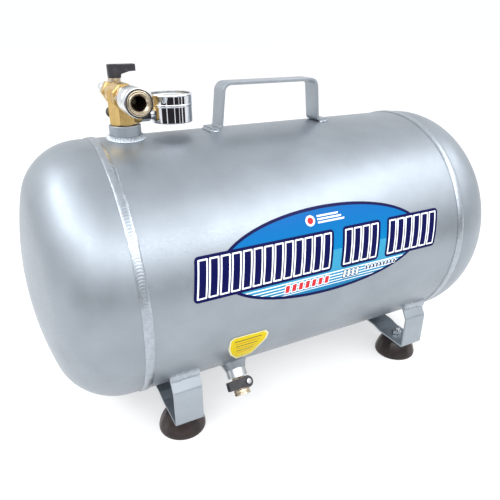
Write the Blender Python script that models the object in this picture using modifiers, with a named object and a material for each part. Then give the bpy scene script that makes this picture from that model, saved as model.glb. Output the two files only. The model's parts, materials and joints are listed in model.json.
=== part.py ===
"""Portable 24-litre aluminium air receiver tank.

The tank lies along X and stands on rubber feet at Z = 0, with its middle over the origin.
The side with the decal and the quick coupler faces -Y.
"""
import math

import bmesh
import bpy
from mathutils import Matrix, Vector

MM = 0.001
GAP = 0.3 * MM                      # clearance between pieces that touch
MERGE = 0.01 * MM                   # joins the points that a turned profile has on its axis

# Tank
TANK_RADIUS = 130 * MM
WALL = 3 * MM
AXIS_HEIGHT = 158.6 * MM            # tank axis above the floor
WELD_X = 180.4 * MM                 # girth welds, from the middle of the tank
HEAD_FLANGE = 11.8 * MM             # straight part of a dished head
HEAD_DISH = 70.5 * MM               # depth of the dished part
HEAD_KNUCKLE = 61 * MM              # radius of the rounded shoulder
WELD_WIDTH = 8.8 * MM
WELD_HEIGHT = 1.6 * MM
TANK_SEGMENTS = 40

# Threaded bosses
PORT_X = -150.4 * MM
PORT_RADIUS = 14.9 * MM
PORT_RISE = 12 * MM
PORT_BORE = 9 * MM
DRAIN_X = -81.7 * MM
DRAIN_TILT = math.radians(40.1)     # drain axis, from straight down towards -Y
DRAIN_RADIUS = 10.8 * MM
DRAIN_END = 146.9 * MM              # outer end of the boss, from the tank axis
DRAIN_BORE = 6.8 * MM

# Handle: flat bar
HANDLE_X = 2.6 * MM
HANDLE_WIDTH = 22 * MM
HANDLE_THICK = 3 * MM
HANDLE_RISE = 45.7 * MM
HANDLE_HALF_TOP = 55.6 * MM
HANDLE_HALF_FOOT = 59.8 * MM
HANDLE_FLANGE = 11 * MM

# Foot cradles: flat bar, one under each end of the barrel
CRADLE_X = (-143.7 * MM, 152.3 * MM)
CRADLE_WIDTH = 29.8 * MM
CRADLE_THICK = 2.5 * MM
CRADLE_HALF = 112.1 * MM            # outer face of the upright leg
CRADLE_PAD_Z = -134.35 * MM         # middle of the bar over a foot, from the tank axis
CRADLE_KINK_Z = -95.3 * MM
CRADLE_TIP = (-102.4 * MM, -81.9 * MM)

# Rubber feet
FOOT_Y = 85.5 * MM
FOOT_RADIUS = 24.6 * MM
FOOT_TOP_RADIUS = 12.5 * MM
FOOT_BOLT_RADIUS = 3 * MM
FOOT_EDGE = 3 * MM                  # height of the upright edge of the sole
FOOT_FLARE = 1.7                    # 1 makes the side a quarter ellipse, and more is closer to a cone
FOOT_RECESS_RADIUS = 8 * MM
FOOT_RECESS_DEPTH = 9 * MM
FOOT_HEX = 10 * MM                  # across the flats of the bolt head and the nut
FOOT_HEAD_HEIGHT = 4 * MM
FOOT_NUT_HEIGHT = 5 * MM
FOOT_BOLT_TIP = 9 * MM              # above the pad

# Top valve set, from the top of the port's axis on the tank surface
PORT_Z = 19.5 * MM                  # axis of the gauge and safety ports
RUN_Z = 37.4 * MM                   # axis of the run from coupler to plug
HEX_FLATS = 23 * MM
RUN_RADIUS = 12 * MM
RUN_BACK = 12 * MM                  # back end of the manifold's run
RUN_FRONT = 13.5 * MM
SIDE_BOSS_RADIUS = 7 * MM
SIDE_BOSS_END = 15.6 * MM
BALL_Y = 22 * MM
BALL_RADIUS = 7 * MM
FLOW_RADIUS = 4 * MM                # passage through the ball valve and up the manifold
HOUSING_RADIUS = 9.2 * MM
HOUSING_END = 11 * MM               # from the ball's middle
HOUSING_NOSE = 2.8 * MM             # front end of the housing's spigot, from the port axis
SPIGOT_RADIUS = 6.5 * MM            # threaded ends that screw into the manifold's run
NECK_RADIUS = 6.1 * MM
NECK_TOP = 47.2 * MM                # top of the brass neck round the stem
STEM_RADIUS = 2.5 * MM
STEM_HOLE = 2.8 * MM
GLAND_RADIUS = 6 * MM
END_FLATS = 19 * MM                 # hexagon of the end connector
END_STOP = 20 * MM
END_THREAD_RADIUS = 6.3 * MM
SEAT_THICK = 1.7 * MM
LEVER_HUB = 5.6 * MM
LEVER_ARM_DEPTH = 7.6 * MM          # of the arm at the hub
LEVER_TAPER = math.radians(5)
LEVER_BOTTOM = 51.5 * MM
LEVER_TOP = 63 * MM
LEVER_REACH = 19.9 * MM
PLUG_FLATS = 17 * MM
PLUG_BORE = 2.6 * MM
COUPLER_MOUTH = 60 * MM
COUPLER_FLATS = 19 * MM
COUPLER_RADIUS = 9.2 * MM           # barrel inside the sleeve
SLEEVE_RADIUS = 12.2 * MM
SLEEVE_BORE = 9.5 * MM
POPPET_RADIUS = 5.2 * MM
GAUGE_X = 46.8 * MM
GAUGE_RADIUS = 20.7 * MM
GAUGE_WALL = 1 * MM
GAUGE_LOW = 11.5 * MM               # underside of the case
GAUGE_SEAM = 27.2 * MM              # joint between case and bezel
GAUGE_HIGH = 38 * MM
GAUGE_STEM_FLATS = 11 * MM
DIAL_LOW = 31 * MM
DIAL_THICK = 0.6 * MM
SAFETY_FLATS = 12 * MM
SAFETY_BONNET = 5.2 * MM
SAFETY_EYE = 30 * MM                # pull ring's hole, from the port axis
SAFETY_RING_RADIUS = 4.8 * MM
SAFETY_RING_WIRE = 0.6 * MM
THREAD_RADIUS = 6.8 * MM            # threaded sockets at both ends of the run
SIDE_THREAD_RADIUS = 5 * MM         # threaded sockets of the gauge and the safety valve
SIDE_THREAD_START = 5.6 * MM
SIDE_SHANK_RADIUS = 4.7 * MM        # thread of the parts screwed into the side sockets
SIDE_SHANK_START = 6 * MM

# Drain valve, by distance from the tank axis along the drain axis
DRAIN_STEM_AT = 153.8 * MM
DRAIN_STEM_TURN = math.radians(-13.8)
DRAIN_BALL_RADIUS = 5 * MM
DRAIN_FLOW = 2.8 * MM
DRAIN_HOUSING_RADIUS = 8 * MM
DRAIN_HOUSING_END = 160 * MM
DRAIN_SPIGOT_START = 134 * MM
DRAIN_OUTLET_END = 166 * MM
DRAIN_OUTLET_RADIUS = 8.7 * MM
DRAIN_OUTLET_OPENING = 5.2 * MM
DRAIN_NECK_RADIUS = 4.4 * MM
DRAIN_NECK_END = 10 * MM            # out along the stem
DRAIN_LEVER_OUT = 11.6 * MM
DRAIN_LEVER_THICK = 5.6 * MM
DRAIN_LEVER_LENGTH = 24.4 * MM
DRAIN_LEVER_END = 6.1 * MM          # radius of the round end
DRAIN_LEVER_HALF = 4.6 * MM         # half the width of the bar

# Stickers: across X, and by angle above the horizontal on the -Y side
DECAL_X = 3 * MM
DECAL_HALF = 143 * MM
DECAL_OVAL_HALF = 117 * MM
DECAL_ANGLES = (math.radians(-5), math.radians(33.5))
DECAL_BAND_ANGLES = (math.radians(4.3), math.radians(22.9))
CAUTION_X = (-103.4 * MM, -60 * MM)
CAUTION_ANGLES = (math.radians(-39.6), math.radians(-17.5))
STICKER_THICK = 0.3 * MM

ALUMINIUM = ("satin_aluminium", (0.62, 0.64, 0.66), 0.35, 0.9)
CAST_ALUMINIUM = ("machined_aluminium", (0.7, 0.72, 0.74), 0.3, 0.9)
BRASS = ("brass", (0.72, 0.5, 0.16), 0.3, 1.0)
NICKEL = ("nickel_plate", (0.72, 0.72, 0.7), 0.25, 1.0)
CHROME = ("chrome", (0.8, 0.8, 0.82), 0.08, 1.0)
BLACK = ("black_coating", (0.02, 0.02, 0.025), 0.45, 0.0)
RUBBER = ("brown_rubber", (0.035, 0.022, 0.018), 0.6, 0.0)
STEEL = ("zinc_steel", (0.55, 0.56, 0.58), 0.35, 1.0)
GLASS = ("clear_glass", (0.9, 0.95, 0.95), 0.05, 0.0)
WHITE = ("dial_white", (0.9, 0.9, 0.88), 0.4, 0.0)
BLUE = ("decal_blue", (0.03, 0.3, 0.62), 0.35, 0.0)
YELLOW = ("sticker_yellow", (0.85, 0.66, 0.03), 0.4, 0.0)
SEAT_WHITE = ("seat_plastic", (0.85, 0.85, 0.83), 0.5, 0.0)

TO_FRONT = (math.radians(90), 0, 0)      # local +Z points along -Y
TO_BACK = (math.radians(-90), 0, 0)      # local +Z points along +Y
TO_RIGHT = (0, math.radians(90), 0)      # local +Z points along +X
TO_LEFT = (0, math.radians(-90), 0)      # local +Z points along -X

BEYOND = 80 * MM                         # cutters end this far out, clear of the piece they cut
SMALL_EDGE = 0.6 * MM                    # small chamfers on turned pieces

parts = None
cutters = None


def clear_scene():
    """Remove every object and make the two collections."""
    global parts, cutters
    for old in list(bpy.data.objects):
        bpy.data.objects.remove(old, do_unlink=True)
    parts = bpy.data.collections.new("air_receiver_tank")
    cutters = bpy.data.collections.new("cutters")
    for group in (parts, cutters):
        bpy.context.scene.collection.children.link(group)


def material(finish):
    """The material of a finish, made once."""
    name, colour, roughness, metallic = finish
    if name in bpy.data.materials:
        return bpy.data.materials[name]
    made = bpy.data.materials.new(name)
    made.use_nodes = True
    shader = made.node_tree.nodes["Principled BSDF"]
    shader.inputs["Base Color"].default_value = (*colour, 1.0)
    shader.inputs["Roughness"].default_value = roughness
    shader.inputs["Metallic"].default_value = metallic
    return made


def place(name, data, finish=None, at=(0, 0, 0), turn=(0, 0, 0), parent=None):
    """Add an object: a part if it has a finish, a cutter if it has none."""
    thing = bpy.data.objects.new(name, data)
    thing.location = at
    thing.rotation_euler = turn
    thing.parent = parent
    if finish is None:
        cutters.objects.link(thing)
        thing.hide_render = True
        thing.display_type = "WIRE"
        return thing
    parts.objects.link(thing)
    data.materials.append(material(finish))
    return thing


def frame(name, at, turn=(0, 0, 0), parent=None):
    """An empty that a group of pieces hangs on."""
    empty = bpy.data.objects.new(name, None)
    empty.empty_display_size = 10 * MM
    empty.location = at
    empty.rotation_euler = turn
    empty.parent = parent
    parts.objects.link(empty)
    return empty


def turned(name, profile, finish=None, at=(0, 0, 0), turn=(0, 0, 0), parent=None, segments=20):
    """A turned solid about local Z. The profile's (radius, z) points run down its outer side."""
    closed = profile[0][0] > 0
    mesh = bpy.data.meshes.new(name)
    points = [(radius, 0, z) for radius, z in profile]
    edges = [(i, i + 1) for i in range(len(points) - 1)]
    if closed:
        edges.append((len(points) - 1, 0))
    mesh.from_pydata(points, edges, [])
    thing = place(name, mesh, finish, at, turn, parent)
    screw = thing.modifiers.new("turn", "SCREW")
    screw.steps = segments
    screw.render_steps = segments
    screw.use_merge_vertices = True
    screw.merge_threshold = MERGE
    screw.use_smooth_shade = True
    return thing


def rod(name, radius, low, high, finish=None, at=(0, 0, 0), turn=(0, 0, 0), parent=None, segments=20):
    """A plain cylinder along local Z."""
    profile = [(0, high), (radius, high), (radius, low), (0, low)]
    return turned(name, profile, finish, at, turn, parent, segments)


def tube(name, outer, inner, low, high, finish=None, at=(0, 0, 0), turn=(0, 0, 0), parent=None,
         segments=20):
    """A plain tube along local Z."""
    profile = [(outer, high), (outer, low), (inner, low), (inner, high)]
    return turned(name, profile, finish, at, turn, parent, segments)


def hexagon(name, flats, low, high, finish=None, at=(0, 0, 0), turn=(0, 0, 0), parent=None):
    """A hexagonal bar along local Z, with two of its corners on local X."""
    mesh = bpy.data.meshes.new(name)
    shape = bmesh.new()
    corner = flats / math.sqrt(3)
    middle = Matrix.Translation((0, 0, (low + high) / 2)) @ Matrix.Rotation(math.radians(30), 4, "Z")
    bmesh.ops.create_cone(shape, cap_ends=True, segments=6, radius1=corner, radius2=corner,
                          depth=high - low, matrix=middle)
    shape.to_mesh(mesh)
    shape.free()
    return place(name, mesh, finish, at, turn, parent)


def block(name, low, high, finish=None, at=(0, 0, 0), turn=(0, 0, 0), parent=None):
    """A box between two corners."""
    mesh = bpy.data.meshes.new(name)
    shape = bmesh.new()
    low, high = Vector(low), Vector(high)
    size = high - low
    fit = Matrix.Translation((low + high) / 2) @ Matrix.Diagonal((*size, 1.0))
    bmesh.ops.create_cube(shape, size=1.0, matrix=fit)
    shape.to_mesh(mesh)
    shape.free()
    return place(name, mesh, finish, at, turn, parent)


def combine(target, tool, operation="DIFFERENCE"):
    """Cut a tool from a part, or join it on."""
    change = target.modifiers.new(tool.name, "BOOLEAN")
    change.operation = operation
    change.solver = "EXACT"
    change.object = tool
    return target


def rounded(corners, radii, steps=4):
    """A polyline through flat corners, each rounded by an arc of its own radius."""
    points = [Vector(corners[0])]
    for before, corner, after, radius in zip(corners, corners[1:], corners[2:], radii):
        corner = Vector(corner)
        back = (Vector(before) - corner).normalized()
        ahead = (Vector(after) - corner).normalized()
        half = back.angle(ahead) / 2
        reach = radius / math.tan(half)
        start = corner + back * reach
        end = corner + ahead * reach
        centre = corner + (back + ahead).normalized() * radius / math.sin(half)
        for i in range(steps + 1):
            arm = (start - centre).slerp(end - centre, i / steps)
            points.append(centre + arm.normalized() * radius)
    points.append(Vector(corners[-1]))
    return points


def bent_bar(name, path, width, thick, to_world, finish, at):
    """A flat bar: a ribbon along a flat path, thickened equally to both sides."""
    mesh = bpy.data.meshes.new(name)
    points = []
    for point in path:
        points.append(to_world(point, -width / 2))
        points.append(to_world(point, width / 2))
    faces = [(2 * i, 2 * i + 1, 2 * i + 3, 2 * i + 2) for i in range(len(path) - 1)]
    mesh.from_pydata(points, [], faces)
    bar = place(name, mesh, finish, at)
    thicken = bar.modifiers.new("thickness", "SOLIDIFY")
    thicken.thickness = thick
    thicken.offset = 0
    thicken.use_even_offset = True
    return bar


def on_tank(x, angle, radius):
    """A point by its angle above the horizontal on the -Y side, and its distance from the axis."""
    return (x, -radius * math.cos(angle), AXIS_HEIGHT + radius * math.sin(angle))


def head_profile():
    """The outline of a dished head: crown and shoulder arcs, outside first, then inside."""
    shoulder = TANK_RADIUS - HEAD_KNUCKLE
    crown = (shoulder ** 2 + HEAD_DISH ** 2 - HEAD_KNUCKLE ** 2) / (2 * (HEAD_DISH - HEAD_KNUCKLE))
    crown_z = HEAD_FLANGE + HEAD_DISH - crown
    meet = math.atan2(shoulder, HEAD_FLANGE - crown_z)
    crown_steps, shoulder_steps = 3, 4

    def side(inset):
        points = [(0, crown_z + crown - inset)]
        for i in range(1, crown_steps + 1):
            turn = meet * i / crown_steps
            reach = crown - inset
            points.append((reach * math.sin(turn), crown_z + reach * math.cos(turn)))
        for i in range(1, shoulder_steps + 1):
            turn = meet + (math.pi / 2 - meet) * i / shoulder_steps
            reach = HEAD_KNUCKLE - inset
            points.append((shoulder + reach * math.sin(turn), HEAD_FLANGE + reach * math.cos(turn)))
        points.append((TANK_RADIUS - inset, GAP / 2))
        return points

    return side(0) + side(WALL)[::-1]


def make_tank():
    """The barrel, its two heads and the weld beads over their seams."""
    axis = (0, 0, AXIS_HEIGHT)
    seam = WELD_X - GAP / 2
    barrel = tube("shell_barrel", TANK_RADIUS, TANK_RADIUS - WALL, -seam, seam, ALUMINIUM, axis,
                  TO_RIGHT, segments=TANK_SEGMENTS)
    port_hole = rod("port_hole", PORT_RADIUS + GAP, -2 * WALL, 2 * WALL,
                    at=(PORT_X, 0, AXIS_HEIGHT + TANK_RADIUS), segments=32)
    drain_hole = rod("drain_hole", DRAIN_RADIUS + GAP, TANK_RADIUS - 3 * WALL, TANK_RADIUS + 2 * WALL,
                     at=(DRAIN_X, 0, AXIS_HEIGHT), turn=(math.pi - DRAIN_TILT, 0, 0))
    combine(barrel, port_hole)
    combine(barrel, drain_hole)
    for side, sign, turn in (("left", -1, TO_LEFT), ("right", 1, TO_RIGHT)):
        seam_at = (sign * WELD_X, 0, AXIS_HEIGHT)
        turned(f"head_{side}", head_profile(), ALUMINIUM, seam_at, turn, segments=TANK_SEGMENTS)
        turned(f"girth_weld_{side}", weld_bead(), ALUMINIUM, seam_at, turn, segments=TANK_SEGMENTS)


def weld_bead():
    """The outline of a girth weld: a low crown over the seam."""
    inner = TANK_RADIUS + GAP
    points = []
    steps = 3
    for i in range(steps + 1):
        z = WELD_WIDTH * (0.5 - i / steps)
        bulge = 1 - (2 * z / WELD_WIDTH) ** 2
        points.append((inner + 0.25 * MM + (WELD_HEIGHT - 0.55 * MM) * bulge, z))
    return points + [(inner, -WELD_WIDTH / 2), (inner, WELD_WIDTH / 2)]


def fillet_ring(name, inner, reach, foot, height, at, turn):
    """A concave weld fillet round a boss, with its foot following the tank's surface."""
    steps = 3
    points = []
    for i in range(steps + 1):
        swing = math.pi / 2 * i / steps
        points.append((inner + 0.6 * MM + (reach - inner) * (1 - math.cos(swing)),
                       foot + height * (1 - math.sin(swing))))
    points += [(reach + 0.6 * MM, foot - 4 * MM), (inner, foot - 4 * MM), (inner, foot + height)]
    return turned(name, points, ALUMINIUM, at, turn, segments=24)


def make_bosses():
    """The threaded port on top and the threaded drain boss below, with their welds."""
    surface = rod("tank_surface", TANK_RADIUS + GAP, -WELD_X, WELD_X, at=(0, 0, AXIS_HEIGHT),
                  turn=TO_RIGHT, segments=TANK_SEGMENTS)
    top = (PORT_X, 0, AXIS_HEIGHT + TANK_RADIUS)
    chamfer = 1 * MM
    inside = -WALL - 2 * MM
    turned("port_boss",
           [(PORT_RADIUS - chamfer, PORT_RISE), (PORT_RADIUS, PORT_RISE - chamfer), (PORT_RADIUS, inside),
            (PORT_BORE, inside), (PORT_BORE, PORT_RISE)],
           CAST_ALUMINIUM, top, segments=24)
    port_weld = fillet_ring("port_boss_weld", PORT_RADIUS + GAP, 18.5 * MM, 0, 3.4 * MM, top, (0, 0, 0))
    combine(port_weld, surface)
    drain_turn = (math.pi - DRAIN_TILT, 0, 0)
    drain_at = (DRAIN_X, 0, AXIS_HEIGHT)
    turned("drain_boss",
           [(DRAIN_RADIUS - chamfer / 2, DRAIN_END), (DRAIN_RADIUS, DRAIN_END - chamfer / 2),
            (DRAIN_RADIUS, TANK_RADIUS - 2 * WALL), (DRAIN_BORE, TANK_RADIUS - 2 * WALL),
            (DRAIN_BORE, DRAIN_END)],
           CAST_ALUMINIUM, drain_at, drain_turn)
    drain_weld = fillet_ring("drain_boss_weld", DRAIN_RADIUS + GAP, 15.5 * MM, TANK_RADIUS, 8 * MM,
                             drain_at, drain_turn)
    combine(drain_weld, surface)


def make_handle():
    """The carrying handle: a low bridge with two flanges on the tank."""
    foot = GAP + HANDLE_THICK / 2
    top = HANDLE_RISE - HANDLE_THICK / 2
    half_foot = HANDLE_HALF_FOOT - HANDLE_THICK / 2
    half_top = HANDLE_HALF_TOP - HANDLE_THICK / 2
    half = [(half_foot + HANDLE_FLANGE, foot), (half_foot, foot), (half_top, top)]
    corners = [(-x, z) for x, z in half] + half[::-1]
    path = rounded(corners, (3.5 * MM, 8 * MM, 8 * MM, 3.5 * MM))
    bent_bar("handle", path, HANDLE_WIDTH, HANDLE_THICK, lambda point, across: (point.x, across, point.y),
             ALUMINIUM, (HANDLE_X, 0, AXIS_HEIGHT + TANK_RADIUS))


def make_cradles():
    """The two foot cradles, each one bar bent under the tank and up to its sides."""
    saddle_z = -TANK_RADIUS - GAP - CRADLE_THICK / 2
    leg = CRADLE_HALF - CRADLE_THICK / 2
    kink = leg - 0.3 * MM
    half = [CRADLE_TIP, (-kink, CRADLE_KINK_Z), (-leg, CRADLE_PAD_Z), (-70 * MM, CRADLE_PAD_Z),
            (-58 * MM, saddle_z)]
    corners = half + [(-y, z) for y, z in half[::-1]]
    bends = (6 * MM, 2.6 * MM, 8 * MM, 8 * MM)
    path = rounded(corners, bends + bends[::-1], steps=2)
    for side, x in zip(("left", "right"), CRADLE_X):
        cradle = bent_bar(f"cradle_{side}", path, CRADLE_WIDTH, CRADLE_THICK,
                          lambda point, across: (across, point.x, point.y), ALUMINIUM,
                          (x, 0, AXIS_HEIGHT))
        for end, y in (("front", -FOOT_Y), ("back", FOOT_Y)):
            hole = rod(f"bolt_hole_{side}_{end}", FOOT_BOLT_RADIUS + GAP, -10 * MM, 10 * MM,
                       at=(x, y, AXIS_HEIGHT + CRADLE_PAD_Z), segments=16)
            combine(cradle, hole)
            make_foot(f"{side}_{end}", x, y)


def make_foot(place_name, x, y):
    """A bell-shaped rubber foot, with its bolt from below and its nut on the cradle."""
    pad_under = AXIS_HEIGHT + CRADLE_PAD_Z - CRADLE_THICK / 2
    pad_top = pad_under + CRADLE_THICK
    top = pad_under - GAP
    hole = FOOT_BOLT_RADIUS + GAP
    steps = 4
    outline = []
    for i in range(steps + 1):
        swing = math.pi / 2 * i / steps
        outline.append((FOOT_TOP_RADIUS + (FOOT_RADIUS - FOOT_TOP_RADIUS) * math.sin(swing),
                        FOOT_EDGE + (top - FOOT_EDGE) * math.cos(swing) ** FOOT_FLARE))
    outline.append((FOOT_RADIUS, SMALL_EDGE))
    outline.append((FOOT_RADIUS - SMALL_EDGE, 0))
    outline += [(FOOT_RECESS_RADIUS, 0), (FOOT_RECESS_RADIUS, FOOT_RECESS_DEPTH), (hole, FOOT_RECESS_DEPTH),
                (hole, top)]
    turned(f"foot_{place_name}", outline, RUBBER, (x, y, 0))
    head_top = FOOT_RECESS_DEPTH - GAP
    head_low = head_top - FOOT_HEAD_HEIGHT
    bolt = hexagon(f"foot_bolt_{place_name}", FOOT_HEX, head_low, head_top, STEEL, (x, y, 0))
    shank = rod(f"bolt_shank_{place_name}", FOOT_BOLT_RADIUS, head_low + FOOT_HEAD_HEIGHT / 2,
                pad_top + FOOT_BOLT_TIP, at=(x, y, 0), segments=16)
    combine(bolt, shank, "UNION")
    nut_low = pad_top + GAP
    nut = hexagon(f"foot_nut_{place_name}", FOOT_HEX, nut_low, nut_low + FOOT_NUT_HEIGHT, STEEL, (x, y, 0))
    nut_hole = rod(f"nut_hole_{place_name}", hole, 0, BEYOND, at=(x, y, 0), segments=16)
    combine(nut, nut_hole)


def make_manifold(port):
    """The brass manifold: a hexagonal base, a run from front to back, and two side ports."""
    hex_top = RUN_Z - 4 * MM
    manifold = hexagon("manifold", HEX_FLATS, PORT_RISE + GAP, hex_top, BRASS, parent=port)
    spigot = rod("manifold_spigot", PORT_BORE - GAP, -WALL, RUN_Z, parent=port)
    run = rod("manifold_run", RUN_RADIUS, -RUN_BACK, RUN_FRONT, at=(0, 0, RUN_Z), turn=TO_FRONT, parent=port,
              segments=24)
    gauge_boss = rod("manifold_gauge_boss", SIDE_BOSS_RADIUS, SIDE_BOSS_END - 10 * MM, SIDE_BOSS_END,
                     at=(0, 0, PORT_Z), turn=TO_RIGHT, parent=port)
    for tool in (spigot, run, gauge_boss):
        combine(manifold, tool, "UNION")
    front_shoulder = 6 * MM
    back_shoulder = -2.5 * MM
    run_passage = 5 * MM
    run_bore = turned("manifold_run_bore",
                      [(0, BEYOND), (THREAD_RADIUS, BEYOND), (THREAD_RADIUS, front_shoulder),
                       (run_passage, front_shoulder), (run_passage, back_shoulder),
                       (THREAD_RADIUS, back_shoulder), (THREAD_RADIUS, -BEYOND), (0, -BEYOND)],
                      at=(0, 0, RUN_Z), turn=TO_FRONT, parent=port)
    combine(manifold, rod("manifold_riser_bore", FLOW_RADIUS, -2 * WALL, RUN_Z, parent=port))
    combine(manifold, run_bore)
    passage = 2 * MM
    socket = [(0, BEYOND), (SIDE_THREAD_RADIUS, BEYOND), (SIDE_THREAD_RADIUS, SIDE_THREAD_START),
              (passage, SIDE_THREAD_START), (passage, 0), (0, 0)]
    for name, turn in (("gauge", TO_RIGHT), ("safety", TO_BACK)):
        combine(manifold, turned(f"manifold_{name}_socket", socket, at=(0, 0, PORT_Z), turn=turn, parent=port,
                                 segments=16))


def make_ball_valve(port):
    """The shut-off valve behind the manifold: housing, ball, seats, stem, gland and lever."""
    centre = (0, BALL_Y, RUN_Z)
    make_valve_housing(centre, port)
    spindle = frame("lever_axis", centre, parent=port)
    make_ball("valve_ball", BALL_RADIUS, FLOW_RADIUS - 0.2 * MM, 2.6 * MM, spindle)
    stem_foot = BALL_RADIUS - 1.2 * MM
    stem_top = LEVER_TOP - RUN_Z - 3.6 * MM
    make_stem("valve_stem", STEM_RADIUS, 2 * MM, stem_foot, stem_top, spindle)
    tube("stem_gland", GLAND_RADIUS, STEM_HOLE, NECK_TOP + GAP - RUN_Z, LEVER_BOTTOM - RUN_Z - GAP, NICKEL,
         parent=port, at=centre)
    make_top_lever(spindle)


def make_valve_housing(centre, port):
    """The valve's brass housing with its stem neck, the end connector, and the two ball seats."""
    nose = HOUSING_NOSE - BALL_Y
    face = RUN_BACK + GAP - BALL_Y
    cavity = BALL_RADIUS + SMALL_EDGE
    cavity_front = -8 * MM
    housing = turned("ball_valve_housing",
                     [(HOUSING_RADIUS, HOUSING_END), (HOUSING_RADIUS, face), (SPIGOT_RADIUS, face),
                      (SPIGOT_RADIUS, nose), (FLOW_RADIUS, nose), (FLOW_RADIUS, cavity_front),
                      (cavity, cavity_front), (cavity, HOUSING_END)],
                     BRASS, centre, TO_BACK, port)
    neck_foot = BALL_RADIUS + 1 * MM
    neck = rod("stem_neck", NECK_RADIUS, neck_foot, NECK_TOP - RUN_Z, at=centre, parent=port)
    combine(housing, neck, "UNION")
    combine(housing, rod("stem_bore", STEM_HOLE, BALL_RADIUS - 2 * MM, BEYOND, at=centre, parent=port))
    end_start = HOUSING_END + GAP
    end = hexagon("ball_valve_end", END_FLATS, end_start, END_STOP, BRASS, centre, TO_BACK, port)
    spigot_start = 8 * MM
    thread_start = 12 * MM
    plug = rod("end_spigot", cavity - GAP, spigot_start, thread_start, at=centre, turn=TO_BACK, parent=port)
    combine(end, plug, "UNION")
    combine(end, rod("end_bore", FLOW_RADIUS, 0, BEYOND, at=centre, turn=TO_BACK, parent=port))
    combine(end, rod("end_thread", END_THREAD_RADIUS, thread_start, BEYOND, at=centre, turn=TO_BACK,
                     parent=port))
    for where, low in (("front", cavity_front + GAP), ("back", spigot_start - GAP - SEAT_THICK)):
        tube(f"ball_seat_{where}", cavity - GAP, FLOW_RADIUS + 0.2 * MM, low, low + SEAT_THICK, SEAT_WHITE,
             centre, TO_BACK, port)


def make_ball(name, radius, bore, slot_width, spindle):
    """A valve ball, shut: its bore lies along local X, and its stem slot on top along X too."""
    mesh = bpy.data.meshes.new(name)
    shape = bmesh.new()
    bmesh.ops.create_uvsphere(shape, u_segments=16, v_segments=10, radius=radius)
    shape.to_mesh(mesh)
    shape.free()
    ball = place(name, mesh, NICKEL, parent=spindle)
    reach = 2 * radius
    combine(ball, rod(f"{name}_bore", bore, -reach, reach, turn=TO_RIGHT, parent=spindle))
    slot_depth = 1.5 * MM
    low = (-reach, -slot_width / 2, radius - slot_depth)
    combine(ball, block(f"{name}_slot", low, (reach, slot_width / 2, reach), parent=spindle))


def make_stem(name, radius, tang_width, low, high, spindle):
    """A valve stem with a flat tang for the ball's slot and a screw hole in its top."""
    tang_top = low + 2 * MM
    hole_low = high - 5 * MM
    hole = 1.5 * MM
    tang_half = radius * 0.7
    stem = turned(name,
                  [(0, hole_low), (hole, hole_low), (hole, high), (radius, high), (radius, tang_top),
                   (0, tang_top)],
                  NICKEL, parent=spindle)
    tang = block(f"{name}_tang", (-tang_half, -tang_width / 2, low),
                 (tang_half, tang_width / 2, tang_top + 1 * MM), parent=spindle)
    return combine(stem, tang, "UNION")


def make_top_lever(spindle):
    """The black lever, which crosses the run while the valve is shut, and its screw."""
    bottom = LEVER_BOTTOM - RUN_Z
    top = LEVER_TOP - RUN_Z
    half = LEVER_HUB * 0.92
    lever = rod("valve_lever", LEVER_HUB, bottom, top, BLACK, parent=spindle)
    arm_low = top - LEVER_ARM_DEPTH
    arm = block("lever_arm", (0, -half, arm_low), (LEVER_REACH, half, top - 0.2 * MM), parent=spindle)
    taper = block("lever_taper", (0, -2 * half, -LEVER_ARM_DEPTH), (2 * LEVER_REACH, 2 * half, 0),
                  at=(0, 0, arm_low), turn=(0, -LEVER_TAPER, 0), parent=spindle)
    back_corner = block("lever_back", (-LEVER_HUB - SMALL_EDGE, -half, bottom + 0.5 * MM),
                        (0, half, top - 0.3 * MM), parent=spindle)
    combine(arm, taper)
    combine(lever, arm, "UNION")
    combine(lever, back_corner, "UNION")
    combine(lever, rod("lever_bore", STEM_HOLE, 0, BEYOND, parent=spindle))
    seat_radius = 4 * MM
    seat = top - 3 * MM
    combine(lever, rod("lever_screw_seat", seat_radius, seat, BEYOND, parent=spindle))
    head, head_height, length = 3.6 * MM, 2.2 * MM, 4.6 * MM
    turned("lever_screw", screw_profile(head, 1.2 * MM, seat + GAP, head_height, length), STEEL,
           parent=spindle)


def screw_profile(head, shank, head_low, head_height, length):
    """The outline of a screw with a low round head."""
    top = head_low + head_height
    return [(0, top), (head * 0.7, top - 0.1 * MM), (head, top - head_height / 2), (head, head_low),
            (shank, head_low), (shank, head_low - length), (0, head_low - length)]


def make_plug(port):
    """The steel plug nipple behind the ball valve, where a filling hose clips on."""
    at = (0, BALL_Y, RUN_Z)
    thread, thread_start = 6 * MM, 12.3 * MM
    hex_low, hex_high = END_STOP + GAP, 29 * MM
    collar, collar_end = SPIGOT_RADIUS, 37 * MM
    groove, groove_low, groove_high = 5 * MM, 38.5 * MM, 41 * MM
    ridge_low, ridge_high = 42.5 * MM, 45 * MM
    nose, nose_low, tip = 4.2 * MM, 48 * MM, 64 * MM
    plug = hexagon("plug_nipple", PLUG_FLATS, hex_low, hex_high, NICKEL, at, TO_BACK, port)
    profile = [(0, tip), (nose - SMALL_EDGE, tip), (nose, tip - 1 * MM), (nose, nose_low),
               (thread, ridge_high), (thread, ridge_low), (groove, groove_high), (groove, groove_low),
               (collar, collar_end), (collar, hex_high - 1 * MM), (thread, hex_high - 1 * MM),
               (thread, thread_start), (0, thread_start)]
    combine(plug, turned("plug_body", profile, at=at, turn=TO_BACK, parent=port), "UNION")
    combine(plug, rod("plug_bore", PLUG_BORE, 0, BEYOND, at=at, turn=TO_BACK, parent=port, segments=16))


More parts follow.
